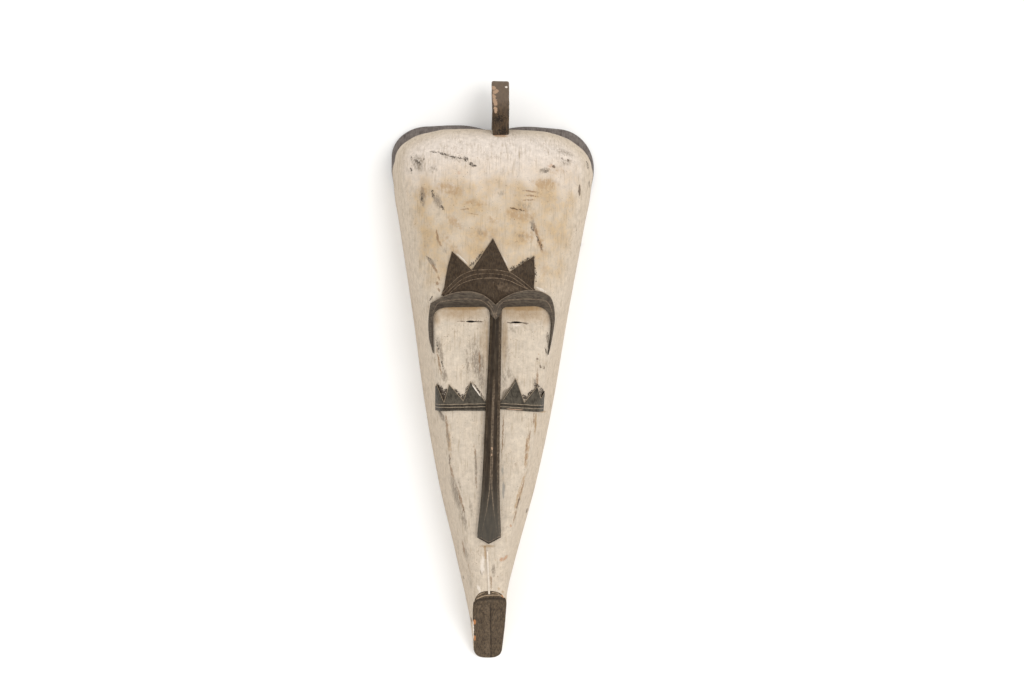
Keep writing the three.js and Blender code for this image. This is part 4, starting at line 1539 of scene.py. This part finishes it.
@dataclass
class CarvedBody:
    """The block of the mask: dome, walls, face and snout, with its rim, hollow back, eye slits and mouth."""

    finishes: Finishes
    outer: Steps = Steps(lower=250, side=26, corner=34, top=34, foot=26, wall=24, round=16, face=22)
    inner: Steps = Steps(lower=250, side=26, corner=34, top=34, foot=26, wall=4, round=4, face=3)
    shell_thickness: float = 18.0
    hollow_foot: float = -250.0
    tool_marks: float = 0.7
    broad_marks: Ripples = Ripples(0.35, 34.0, 3.1)
    fine_marks: Ripples = Ripples(0.2, 12.0, 7.7, 2.5)
    gouges: Ripples = Ripples(0.9, 26.0, 1.3)
    smooth_foot: Point = (2.0, 16.0)
    eye_level: float = 69.0
    eye_lower_share: float = 0.7
    eye_cut: Point = (90.0, 150.0)
    left_eye: tuple[Point, ...] = ((-34, 0), (-30, 1.2), (-26, 1.5), (-21, 0.5), (-12, 0))
    right_eye: tuple[Point, ...] = ((25, 0), (30, 1.3), (36, 1.3), (41, 0.4), (48, 0))
    mouth_from: float = -285.0

    def build(self) -> Object:
        """Builds the block, cuts its eyes and mouth and dresses it.

        Returns:
            The block.
        """
        rings, painted = self._surface()
        shape = wrapped_grid(rings, painted)
        bmesh.ops.recalc_face_normals(shape, faces=shape.faces[:])
        block = finish_piece("mask_body", shape,
                             [*self.finishes.kaolin, self.finishes.rim, self.finishes.back])
        mouth = MouthTool(self.finishes.mouth)
        cutters = [self._slit("left_eye_cutter", self.left_eye),
                   self._slit("right_eye_cutter", self.right_eye), mouth.build()]
        for cutter in cutters:
            cut = block.modifiers.new(cutter.name, "BOOLEAN")
            cut.operation = "DIFFERENCE"
            cut.solver = "EXACT"
            cut.material_mode = "TRANSFER"
            cut.object = cutter
        graph = bpy.context.evaluated_depsgraph_get()
        uncut = block.data
        block.data = bpy.data.meshes.new_from_object(block.evaluated_get(graph), depsgraph=graph)
        block.modifiers.clear()
        bpy.data.meshes.remove(uncut)
        block.data.name = "mask_body"
        for cutter in cutters:
            bpy.data.objects.remove(cutter)
        self._wear(block.data, mouth)
        attach(block)
        return block

    def _wear(self, mesh: Mesh, mouth: MouthTool) -> None:
        """Marks the worn and the sooty places of the mouth, with its painted shade and painted highlight.

        Args:
            mesh: the mesh of the block.
            mouth: the tool that cut its mouth.
        """
        places = places_in_mm(mesh)
        worn = np.zeros(len(places))
        near = places[:, 1] < self.mouth_from
        worn[near] = mouth.wear_and_light(places[near, 0], places[near, 1])
        write_wear_and_light(mesh, worn)

    def _surface(self) -> tuple[np.ndarray, np.ndarray]:
        """Lays out the block from the ceiling of the hollow over the rim to the face.

        Returns:
            Its rings, and the number of the finish between each ring and the next at each place round it.
        """
        outer_edge = FORM.edge(FORM.spine_foot, FORM.spine_foot - FORM.foot_edge, self.outer)
        inner_edge = FORM.edge(self.hollow_foot, float(FORM.half_width.at(self.hollow_foot)), self.inner)
        outer = FORM.rings(outer_edge, 0.0, self.outer, True)
        grown = FORM.rings(outer_edge, 1.0, self.outer, True)
        places = outer.reshape(-1, 3)
        depth = 0.5 + self.broad_marks.at(places) + self.fine_marks.at(places)
        depth = self.tool_marks * np.clip(depth, 0, 1) * ease(places[:, 2], *self.smooth_foot)
        outer = outer - (grown - outer) * depth.reshape(outer.shape[:2])[..., None]
        inner = FORM.rings(inner_edge, -self.shell_thickness, self.inner, False)
        hollow = FORM.rings(inner_edge, -self.shell_thickness - 1, self.inner, False)
        places = inner.reshape(-1, 3)
        depth = self.gouges.at(places) * ease(places[:, 2], *self.smooth_foot)
        inner = inner + (hollow - inner) * depth.reshape(inner.shape[:2])[..., None]
        rings = np.concatenate((inner[::-1], outer))
        between = (rings[1:, :, 1] + rings[:-1, :, 1]) / 2
        painted = np.searchsorted([stretch.value for stretch in Stretch], between)
        painted[:len(inner)] = len(Stretch) + 1
        rim = slice(len(inner), len(inner) + len(FORM.rim_heights) - 1)
        painted[rim, outer_edge.rim > FORM.rim_taper[0]] = len(Stretch)
        return rings, painted

    def _slit(self, name: str, opening: tuple[Point, ...]) -> Object:
        """Makes a thin cutter for one eye.

        Args:
            name: the cutter's name.
            opening: how far the upper lid is open at a few places across the face.

        Returns:
            The cutter.
        """
        line = smooth_line(opening, 0.8)
        upper = np.column_stack((line[:, 0], self.eye_level + line[:, 1]))
        lower = np.column_stack((line[::-1, 0], self.eye_level - self.eye_lower_share * line[::-1, 1]))
        blade = cut_plate(np.vstack((upper, lower[1:-1])), 3.0)
        for vert in blade.verts:
            vert.co.z = self.eye_cut[vert.co.z > PLATE_MIDDLE]
        return finish_piece(name, blade, [self.finishes.rim])


@dataclass
class Relief:
    """A raised part that follows the body: its outline, height, rounded edge and cut lines."""

    name: str
    drawing: Drawing
    finish: Material
    raised: float
    grooves: tuple[Groove, ...] = ()
    cell: float = 0.66
    rounding: float = 0.8
    edge_wear: float = 0.8
    edge_fade: Point = (0.35, 1.1)
    groove_fade: Point = (0.35, 1.05)
    worn_edge: tuple[Point, ...] = ()
    tool_marks: Ripples = Ripples(0.12, 5.0, 2.2, 2.0)
    sunk: float = 4.0

    def height_over_body(self, x: np.ndarray, y: np.ndarray) -> np.ndarray:
        """How far the part stands out at each place."""
        return np.full(len(x), self.raised)

    def build(self) -> Object:
        """Builds the part on the body and dresses it.

        Returns:
            The part.
        """
        outline = self.drawing.points()
        piece = finish_piece(self.name, cut_plate(outline, self.cell), [self.finish])
        mesh = piece.data
        places = places_in_mm(mesh)
        seen = places[:, :2]
        x, y, level = places.T
        away = distance(seen, np.vstack((outline, outline[:1])))
        rise = self.height_over_body(x, y) - self.rounding * (1 - np.clip(away / self.rounding, 0, 1)) ** 2
        edge = distance(seen, np.array(self.worn_edge, float)) if self.worn_edge else away
        worn = self.edge_wear * (1 - ease(edge, *self.edge_fade))
        for groove in self.grooves:
            gap = distance(seen, groove.line()) / groove.half_width
            rise = rise - groove.depth * np.clip(1 - gap, 0, 1)
            worn = worn + (groove.wear_and_light - worn) * (1 - ease(gap, *self.groove_fade))
        rise = rise - self.tool_marks.depth - self.tool_marks.at(places)
        top = level > PLATE_MIDDLE
        z = np.where(top, FORM.surface(x, y, rise), FORM.surface(x, y, np.zeros(len(x))) - self.sunk)
        mesh.vertices.foreach_set("co", (np.column_stack((x, y, z)) * MM).ravel())
        write_wear_and_light(mesh, np.where(top, worn, 0))
        mesh.set_sharp_from_angle(angle=math.radians(SHARP_ANGLE))
        mesh.update()
        attach(piece)
        return piece


@dataclass
class BrowRelief(Relief):
    """The brows: a front facet over an under facet, tails that sink into the temples, a root on the nose."""

    tail_raised: float = 2.5
    tail_span: Point = (58.0, 84.0)
    under_drop: float = 2.4
    under_depth: float = 10.0
    under_from: Point = (70.0, 84.0)
    root: float = 5.5
    root_half_width: Point = (6.0, 10.5)
    root_until: Point = (90.0, 97.0)
    root_level: float = 142.4
    crease: tuple[Point, ...] = (
        (-84, 88), (-68.2, 94), (-57.7, 96.2), (-41.9, 98.4), (-28.8, 98.7), (-15.6, 98.2), (-5, 93.8),
        (3, 86), (10.9, 91.5), (17.4, 96.9), (30.5, 99.1), (50.3, 100.1), (70.1, 98.5), (76.8, 92.7),
        (85, 84),
    )

    def height_over_body(self, x: np.ndarray, y: np.ndarray) -> np.ndarray:
        """How far the brows stand out: least at the tails, and falling back below the crease.

        Args:
            x: places across the mask.
            y: places along it.

        Returns:
            The height over the body at each place.
        """
        front = self.tail_raised + (self.raised - self.tail_raised) * ease(y, *self.tail_span)
        crease = smooth_line(self.crease)
        below = np.interp(x, crease[:, 0], crease[:, 1]) - y
        drop = self.under_drop * np.clip(below / self.under_depth, 0, 1) * ease(y, *self.under_from)
        over_nose = (1 - ease(np.abs(x - self.root), *self.root_half_width)) * (1 - ease(y, *self.root_until))
        body = FORM.surface(x, y, np.zeros(len(x)))
        return front - drop + over_nose * np.maximum(self.root_level - body - front + drop, 0)


# How far each part stands out over the body.
CROWN_RISE = 3.0
BROW_RISE = 5.5
BAND_RISE = 2.5
CHIN_RIDGE_RISE = 1.5

CROWN = straight(
    (-53.6, 161.3), (-56.7, 149.7), (-59.2, 140.4), (-61, 129.8), (-63.3, 114), (-67.1, 103.3), (-50, 94),
    (0, 90), (50, 94), (62, 106), (55.5, 114.8), (56.4, 132), (54.9, 156.9), (22.7, 135.1), (0.1, 179.1),
    (-27.1, 136.8),
)
CROWN_GROOVES = (
    Groove(((12, 116), (26, 113), (38, 108)), 11.0, 0.0, 0.42),
    Groove(((-66.4, 104.5), (-55.4, 116.6), (-42.5, 128.6), (-26.8, 135.8), (-13.6, 137.1), (3.5, 137.4),
            (16.7, 135.7), (24.6, 133.8), (36.6, 126.1), (48.6, 117.1), (56, 111)), 0.7, 0.6, 0.75),
    Groove(((-62, 104), (-53, 112.8), (-41, 123.4), (-26, 130.2), (-13.4, 132), (3.5, 132.3), (16, 130.8),
            (26, 128), (37, 121), (48, 113)), 0.7, 0.5, 0.7),
    Groove(((-56, 105.5), (-52.6, 108.7), (-42.3, 117.5), (-29.2, 123), (-16.1, 125.8), (-2.9, 126.7),
            (10.2, 126.3), (23.5, 123.3), (36.7, 117.6), (46, 113.8)), 0.7, 0.6, 0.75),
    Groove(((1.8, 122), (2, 112), (2.4, 102), (3, 94)), 0.7, 0.5, 0.5),
)
BROWS = Drawing((-76.8, 26), (
    Stroke((-77.2, 74), (-77.6, 55)),
    Stroke((-54, 87.6), (-75.5, 87.3)),
    Stroke((-11, 89)),
    Stroke((-2.1, 80), (-3.5, 88.6)),
    Stroke((5.4, 72)),
    Stroke((13, 80)),
    Stroke((20, 89.2), (13.5, 88.6)),
    Stroke((57, 91)),
    Stroke((80.4, 70), (78, 90)),
    Stroke((77, 26.5), (80.2, 50)),
    Stroke((85, 74), (83.4, 50)),
    Stroke((76.8, 104.6), (84, 97)),
    Stroke((48, 112.4), (66, 112.5)),
    Stroke((5, 92), (22, 110)),
    Stroke((-32, 109.4), (-10, 108.5)),
    Stroke((-73.6, 96.6), (-56, 108.5)),
    Stroke((-81, 92.6)),
    Stroke((-82.2, 43.7), (-86, 66)),
    Stroke((-76.8, 26)),
))
BROW_GROOVES = (
    # The first three are no cuts but painted dark bands on the brows' under facets and the left tail: partly
    # soot, partly painted shade under the brows' edge.
    Groove(((-75, 84), (-68, 89.3), (-54, 90.8), (-30, 91.4), (-14, 91.4), (-5, 86.5)), 3.8, 0.0, -0.45),
    Groove(((16, 90.8), (24, 92.2), (40, 93), (58, 93.2), (70, 90)), 3.4, 0.0, -0.2),
    Groove(((-78, 66), (-78.3, 52), (-77.2, 36)), 2.4, 0.0, -0.45),
    Groove(((-77, 82), (-73, 90), (-68.2, 94), (-57.7, 96.2), (-41.9, 98.4), (-28.8, 98.7), (-15.6, 97.4),
            (-7.1, 93), (-1.3, 87.1), (2, 81), (4.4, 74)), 0.7, 0.4, 0.75),
    Groove(((5.8, 75), (7.8, 85.6), (11, 92), (17.4, 96.9), (30.5, 99.1), (50.3, 100.1), (70.1, 98.5),
            (76.8, 92.7), (80.5, 84)), 0.7, 0.4, 0.75),
    Groove(((-80, 84), (-80.6, 66), (-79, 44), (-77.4, 32)), 0.7, 0.4, 0.4),
    Groove(((82, 84), (82.6, 68), (81, 46), (78.2, 34)), 0.7, 0.4, 0.4),
    Groove(((-5, 96), (-1, 91.8), (2.8, 86), (6.4, 76)), 0.7, 0.4, 0.65),
    Groove(((10, 96), (7.2, 92), (5.6, 86), (3.6, 78)), 0.7, 0.4, 0.65),
)
BROW_WORN_EDGE = (
    (-76, 95.5), (-60, 103), (-45, 107.5), (-28, 108.3), (-12, 104.5), (-2, 97.5), (5, 92), (14, 99.5),
    (28, 107), (48, 112), (66, 110), (76.8, 104.6),
)
LEFT_TEETH = ((-4, -35.5), (-7.1, -35.5), (-26.2, -9.9), (-35.3, -36), (-54.7, -14.3), (-61.1, -38.4),
              (-71.5, -14.6), (-73.5, -18))
RIGHT_TEETH = ((12, -35.8), (14.2, -35.8), (34, -4.9), (46.1, -36.6), (63.1, -15), (68.4, -31), (74.2, -22.8))
LEFT_BAND = straight((-73.5, -51.5), (-66, -51.2), (-45, -49.6), (-4, -49.2), *LEFT_TEETH)
RIGHT_BAND = straight((12, -46.5), (71, -50.4), (74, -50.6), *RIGHT_TEETH[::-1])
LEFT_BAND_GROOVES = (
    Groove(((-73, -44.3), (-5, -41.6)), 1.4, 0.7, -0.6, False),
    Groove(((-73, -48.2), (-5, -45.6)), 1.2, 0.6, -0.6, False),
    Groove(((-73, -42.4), (-5, -39.7)), 0.55, 0.0, 1.0, False),
    Groove(((-73, -46.3), (-5, -43.6)), 0.55, 0.0, 1.0, False),
)
RIGHT_BAND_GROOVES = (
    Groove(((12, -40.8), (73, -43.6)), 1.4, 0.7, -0.6, False),
    Groove(((12, -38.7), (73, -41.4)), 0.55, 0.0, 1.0, False),
    Groove(((12, -43), (73, -46)), 0.55, 0.0, 1.0, False),
    Groove(((18, -34), (33, -10.5)), 0.7, 0.4, 0.7, False),
)
CHIN_RIDGE = Drawing((-0.9, -237), (
    Stroke((2.7, -296.5), (0.6, -268)),
    Stroke((5.1, -296.5)),
    Stroke((1.5, -237), (3.2, -268)),
    Stroke((-0.9, -237)),
))


@dataclass(frozen=True)
class NoseStation:
    """A cross-section of the nose: its middle, half width, height, flat top and its shoulders' drop."""

    y: float
    middle: float
    half: float
    top: float
    flat: float
    shoulder: float


@dataclass
class Nose:
    """The nose: a long bar with bevelled sides and a fine ridge that widens into a flat pointed tip."""

    finish: Material
    stations: tuple[NoseStation, ...] = (
        NoseStation(108, 5.9, 7.9, 143, 0.7, 1.6),
        NoseStation(92, 5.9, 7.9, 140, 0.7, 1.6),
        NoseStation(72, 5.9, 7.9, 141.4, 0.7, 1.6),
        NoseStation(18, 5.4, 8.6, 141, 0.7, 1.6),
        NoseStation(-61, 3.9, 9.9, 139.5, 0.7, 1.6),
        NoseStation(-140, 3.2, 11.4, 136, 0.9, 1.6),
        NoseStation(-180, 2.8, 13.4, 133, 4.6, 1),
        NoseStation(-214, 2.3, 15.7, 130.5, 10.5, 0.5),
        NoseStation(-232, 2.1, 15.9, 129.3, 11.6, 0.4),
    )
    facet_width: float = 4.0
    least_shoulder: float = 0.6
    facet_drop: float = 6.5
    ridge_hollow: float = 0.35
    flat_tip: Point = (2.0, 8.0)
    sunk: float = 8.0
    slice_length: float = 2.4
    sharp: float = 14.0
    tip: tuple[Point, ...] = ((-13.3, -219.2), (2, -227.6), (17.7, -218.8))
    tip_slant: float = 0.28
    tip_height: float = 4.0
    tip_row: float = 0.9
    low_from: Point = (-40.0, 40.0)
    shoulder_edge: Point = (-0.4, 0.4)
    strip_edge: Point = (-0.2, 0.9)
    strip_until: Point = (-205.0, -150.0)
    strip_soot: float = 0.5
    high_soot: float = 0.03
    ridge_edge: Point = (0.25, 0.8)
    ridge_wear: float = 0.65
    tip_ridge_loss: float = 0.25
    least_wear: float = 0.05
    facet_edge: Point = (-0.3, 0.6)
    facet_wear: float = 0.45
    shaded_left_facet_share: float = 0.75
    tip_edge: float = 0.05
    tip_wear: float = 0.9
    tip_facing: float = -0.4
    tip_underside_shade: float = 0.85
    sizes: dict[str, Stations] = field(init=False)

    def __post_init__(self) -> None:
        """Makes each size of the stations one that changes along the nose."""
        self.sizes = {name: Stations(tuple((s.y, getattr(s, name)) for s in self.stations))
                      for name in ("middle", "half", "top", "flat", "shoulder")}

    def _shoulder_reach(self, half: np.ndarray, flat: np.ndarray) -> np.ndarray:
        """Half the distance between the two shoulders, inside the bevelled sides."""
        return np.maximum(half - self.facet_width, flat + self.least_shoulder)

    def build(self) -> Object:
        """Builds the bar, cuts its tip and dresses it.

        Returns:
            The nose.
        """
        rows = np.arange(self.stations[-1].y, self.stations[0].y + self.slice_length, self.slice_length)
        middle, half, top, flat, shoulder = (size.at(rows) for size in self.sizes.values())
        inner = self._shoulder_reach(half, flat)
        foot = FORM.front_height.at(rows) - self.sunk
        edge = top - self.facet_drop
        between = (inner + flat) / 2
        hollow = (top * 2 - shoulder) / 2 - self.ridge_hollow * (1 - ease(flat, *self.flat_tip))
        # Each corner of the section is two or three points, which round it a little.
        right = [(half, foot), (half, edge - 0.3), (half - 0.4, edge + 0.1), (half - 1.2, edge + 1.1),
                 (inner + 1.2, top - shoulder - 1.5), (inner + 0.4, top - shoulder - 0.5),
                 (inner - 0.2, top - shoulder + 0.1), (between, hollow), (flat + 0.3, top - 0.1),
                 (flat - 0.3, top), (np.maximum(flat - 1.3, 0.3 * flat), top)]
        left = [(-across, up) for across, up in right[::-1]]
        rings = np.array([np.column_stack((middle + across, rows, up)) for across, up in right + left])
        bar = wrapped_grid(rings.transpose(1, 0, 2)[:, ::-1])
        for at_root in (False, True):
            ring = [edge for edge in bar.edges if edge.is_boundary and (edge.verts[0].co.y > 0) == at_root]
            bmesh.ops.contextual_create(bar, geom=ring)
        bmesh.ops.recalc_face_normals(bar, faces=bar.faces[:])
        self._cut_tip(bar)
        piece = finish_piece("nose", bar, [self.finish], self.sharp)
        self._wear(piece.data)
        attach(piece)
        return piece

    def _tip_cuts(self, slant: float) -> list[tuple[Vector, Vector]]:
        """Places the two cuts that make the tip.

        Args:
            slant: how much the cuts lean back, 0 for upright ones.

        Returns:
            A place on each cut, and the way that the cut faces.
        """
        left, tip, right = (Vector((x, y, 0)) for x, y in self.tip)
        cuts = []
        for a, b in ((left, tip), (tip, right)):
            run = (b - a).normalized()
            height = float(FORM.front_height.at(a.y)) + self.tip_height
            cuts.append((a + Vector((0, 0, height)), Vector((run.y, -run.x, slant)).normalized()))
        return cuts

    def _cut_tip(self, bar: Shape) -> None:
        """Cuts the pointed tip: upright along its outline, then slanting from near its foot.

        Args:
            bar: the bar.
        """
        for place, out in self._tip_cuts(self.tip_slant):
            bmesh.ops.bisect_plane(bar, geom=everything(bar), dist=CUT_GAP,
                                   plane_co=place - out * self.tip_row, plane_no=out)
        for place, out in self._tip_cuts(0.0) + self._tip_cuts(self.tip_slant):
            cut = bmesh.ops.bisect_plane(bar, geom=everything(bar), dist=CUT_GAP,
                                         plane_co=place, plane_no=out, clear_outer=True)["geom_cut"]
            rim = [item for item in cut if isinstance(item, bmesh.types.BMEdge)]
            bmesh.ops.contextual_create(bar, geom=rim)
        bmesh.ops.recalc_face_normals(bar, faces=bar.faces[:])

    def _wear(self, mesh: Mesh) -> None:
        """Marks the ridge, the facets and the tip's edge as worn, the strips beside the ridge as sooty, and
        the tip's underside and the left facet darker as painted shade.

        Args:
            mesh: the mesh of the nose.
        """
        places = places_in_mm(mesh)
        y = places[:, 1]
        middle, half, flat = (self.sizes[name].at(y) for name in ("middle", "half", "flat"))
        across = np.abs(places[:, 0] - middle)
        past_shoulder = across - self._shoulder_reach(half, flat)
        low = 1 - ease(y, *self.low_from)
        inside = 1 - ease(past_shoulder, *self.shoulder_edge)
        strips = ease(across - flat, *self.strip_edge) * inside * ease(y, *self.strip_until)
        worn = -self.strip_soot * strips - self.high_soot * (1 - low) * inside
        ridge = low * (self.ridge_wear - self.tip_ridge_loss * ease(flat, *self.flat_tip))
        ridge = ridge * (1 - ease(np.abs(across - flat), *self.ridge_edge))
        facets = self.facet_wear * ease(past_shoulder, *self.facet_edge)
        # The left facet faces away from the light and is painted a quarter less worn: painted shade.
        facets = facets * np.where(places[:, 0] < middle, self.shaded_left_facet_share, 1)
        worn = np.where(ridge > self.least_wear, ridge, worn) + facets
        for place, out in self._tip_cuts(self.tip_slant):
            away = np.abs((places - np.array(place)) @ np.array(out))
            worn = np.where(away < self.tip_edge, self.tip_wear, worn)
        corners = np.zeros(len(mesh.loops), int)
        mesh.loops.foreach_get("vertex_index", corners)
        worn = worn[corners]
        # Faces under the tip are painted dark: painted shade on the tip's underside.
        for face in mesh.polygons:
            if face.normal.y < self.tip_facing:
                worn[list(face.loop_indices)] = -self.tip_underside_shade
        write_wear_and_light(mesh, worn, "CORNER")


@dataclass
class Crest:
    """The flat crest that stands up from the top of the dome, a little to one side."""

    finish: Material
    middle: float = 8.5
    thickness: float = 24.6
    foot_thickness: float = 22.4
    edge: float = 2.8
    cell: float = 2.2
    dents: tuple[Ripples, ...] = (Ripples(0.225, 13.0, 5.5), Ripples(0.125, 5.0, 8.8))
    chip: Point = (-1.0, 362.0)
    chip_size: Point = (4.5, 13.0)
    chip_depth: float = 0.9
    free_from: float = 310.0
    free_length: float = 90.0
    foot_shift: float = 0.3
    lean: float = 1.3
    sharp: float = 50.0
    edge_wear: float = 0.35
    edge_fade: Point = (0.5, 2.5)
    wear_from: Point = (330.0, 380.0)
    outline: Drawing = Drawing((70, 294.5), (
        Stroke((107, 312)),
        Stroke((106, 357)),
        Stroke((98, 368), (104, 362)),
        Stroke((68, 396.4)),
        Stroke((54, 399.4), (61, 402.9)),
        Stroke((30, 366), (40, 388)),
        Stroke((14, 338)),
        Stroke((24, 322)),
        Stroke((70, 294.5)),
    ))

    def build(self) -> Object:
        """Builds the crest and dresses it.

        Returns:
            The crest.
        """
        fin = bmesh.new()
        fin.faces.new([fin.verts.new((0, y, z)) for z, y in self.outline.points(4)])
        thicken(fin, (self.thickness, 0, 0))
        bmesh.ops.translate(fin, vec=(self.middle - self.thickness / 2, 0, 0), verts=fin.verts[:])
        rim = [edge for edge in fin.edges if abs(edge.verts[0].co.x - edge.verts[1].co.x) < CUT_GAP]
        bmesh.ops.bevel(fin, geom=rim, offset=self.edge, segments=3, profile=0.5, affect="EDGES", material=-1)
        for axis in range(3):
            low = min(vert.co[axis] for vert in fin.verts)
            high = max(vert.co[axis] for vert in fin.verts)
            slice_up(fin, axis, (low + k * self.cell for k in range(1, math.ceil((high - low) / self.cell))))
        bmesh.ops.recalc_face_normals(fin, faces=fin.faces[:])
        fin.normal_update()
        self._weather(fin)
        piece = finish_piece("crest", fin, [self.finish], self.sharp)
        self._wear(piece.data)
        attach(piece)
        return piece

    def _weather(self, fin: Shape) -> None:
        """Dents and chips the crest, slims its foot and leans it a little.

        Args:
            fin: the crest.
        """
        places = np.array([vert.co for vert in fin.verts])
        x, y = places[:, 0], places[:, 1]
        dents = sum(dent.depth + dent.at(places) for dent in self.dents)
        chip = np.exp(-(((x - self.chip[0]) / self.chip_size[0]) ** 2)
                      - (((y - self.chip[1]) / self.chip_size[1]) ** 2))
        shifts = [vert.normal * depth for vert, depth in zip(fin.verts, dents + self.chip_depth * chip)]
        for vert, shift in zip(fin.verts, shifts):
            vert.co -= shift
            share = min(max((vert.co.y - self.free_from) / self.free_length, 0), 1)
            slim = (self.foot_thickness + (self.thickness - self.foot_thickness) * share) / self.thickness
            vert.co.x = self.middle + self.foot_shift + (vert.co.x - self.middle) * slim - self.lean * share

    def _wear(self, mesh: Mesh) -> None:
        """Marks the edges of the crest as worn.

        Args:
            mesh: the mesh of the crest.
        """
        places = places_in_mm(mesh)
        inside = self.thickness / 2 - np.abs(places[:, 0] - self.middle)
        worn = self.edge_wear * (1 - ease(inside, *self.edge_fade))
        write_wear_and_light(mesh, worn * ease(places[:, 1], *self.wear_from))


@dataclass(frozen=True)
class Studio:
    """A pale floor, soft light from the right, and the camera that looks down on the mask.

    Lengths are in metres, apart from the lens and its sensor, which are in millimetres.
    """

    camera_height: float = 2.4
    lens: float = 60.0
    aim: Point = (0.0312, 0.0443)
    yaw: float = 1.4
    roll: float = 1.0
    light_distance: float = 5.0
    light_size: float = 2.15
    light_power: float = 76.0
    light_slope: tuple[float, float] = (0.39, 0.07)
    sky: float = 1.11
    sensor: float = 36.0
    sight: float = 50.0
    floor_half_side: float = 4.0
    floor_gap: float = 0.0003
    floor_colour: str = "#f1f0ee"
    floor_roughness: float = 0.9
    floor_specular: float = 0.1

    def build(self) -> None:
        """Sets up the floor, the lights and the camera."""
        self._floor()
        self._light()
        self._camera()
        view = bpy.context.scene.view_settings
        view.view_transform = "Standard"
        view.look = "None"

    def _floor(self) -> None:
        """A plain matt floor, a hair below the rim that rests on it."""
        ground = bmesh.new()
        bmesh.ops.create_grid(ground, x_segments=1, y_segments=1, size=self.floor_half_side)
        bmesh.ops.translate(ground, vec=(0, 0, -self.floor_gap), verts=ground.verts)
        mesh = bpy.data.meshes.new("floor")
        ground.to_mesh(mesh)
        ground.free()
        # Matt white paint: plain and bright, so that the eye takes in the mask and its soft shadow alone.
        paint = bpy.data.materials.new("matt_white_floor_paint")
        paint.use_nodes = True
        set_inputs(paint.node_tree.nodes["Principled BSDF"], {
            "Base Color": linear(self.floor_colour),
            "Roughness": self.floor_roughness,
            "Specular IOR Level": self.floor_specular,
        })
        mesh.materials.append(paint)
        floor = bpy.data.objects.new("floor", mesh)
        bpy.context.scene.collection.objects.link(floor)

    def _light(self) -> None:
        """A soft box above and to the right, and an even sky."""
        lamp = bpy.data.lights.new("softbox", "AREA")
        lamp.shape = "DISK"
        lamp.size = self.light_size
        lamp.energy = self.light_power
        box = bpy.data.objects.new("softbox", lamp)
        way = Vector((*self.light_slope, 1)).normalized()
        box.location = way * self.light_distance
        box.rotation_euler = way.to_track_quat("Z", "Y").to_euler()
        bpy.context.scene.collection.objects.link(box)
        world = bpy.data.worlds.new("even_sky")
        world.use_nodes = True
        set_inputs(world.node_tree.nodes["Background"], {"Color": (1, 1, 1, 1), "Strength": self.sky})
        bpy.context.scene.world = world

    def _camera(self) -> None:
        """The camera, almost straight above the mask."""
        yaw, roll = math.radians(self.yaw), math.radians(self.roll)
        ahead = Vector((math.sin(yaw), 0, -math.cos(yaw)))
        level, up = Vector((math.cos(yaw), 0, math.sin(yaw))), Vector((0, 1, 0))
        right = math.cos(roll) * level + math.sin(roll) * up
        above = math.cos(roll) * up - math.sin(roll) * level
        lens = bpy.data.cameras.new("camera")
        lens.lens = self.lens
        lens.sensor_width = self.sensor
        lens.sensor_fit = "HORIZONTAL"
        lens.clip_end = self.sight
        camera = bpy.data.objects.new("camera", lens)
        pose = Matrix((right, above, -ahead)).transposed().to_4x4()
        pose.translation = Vector((*self.aim, 0)) - ahead * self.camera_height
        camera.matrix_world = pose
        bpy.context.scene.collection.objects.link(camera)
        bpy.context.scene.camera = camera


def main() -> None:
    """Builds the mask piece by piece and sets the scene."""
    logging.basicConfig(level=logging.INFO, format="%(name)s %(message)s")
    Studio().build()
    finishes = Finishes()
    CarvedBody(finishes).build()
    Relief("crown", CROWN, finishes.crown, CROWN_RISE, CROWN_GROOVES, edge_wear=0.5).build()
    BrowRelief("brows", BROWS, finishes.brow, BROW_RISE, BROW_GROOVES, edge_wear=0.6,
               worn_edge=BROW_WORN_EDGE).build()
    for side, drawing, teeth, grooves in (("left", LEFT_BAND, LEFT_TEETH, LEFT_BAND_GROOVES),
                                          ("right", RIGHT_BAND, RIGHT_TEETH, RIGHT_BAND_GROOVES)):
        Relief(f"{side}_cheek_band", drawing, finishes.band, BAND_RISE, grooves, edge_wear=0.9,
               worn_edge=teeth).build()
    Relief("chin_ridge", CHIN_RIDGE, finishes.ridge_kaolin, CHIN_RIDGE_RISE, cell=0.6, edge_wear=0).build()
    Nose(finishes.nose).build()
    Crest(finishes.crest).build()


if __name__ == "__main__":
    main()
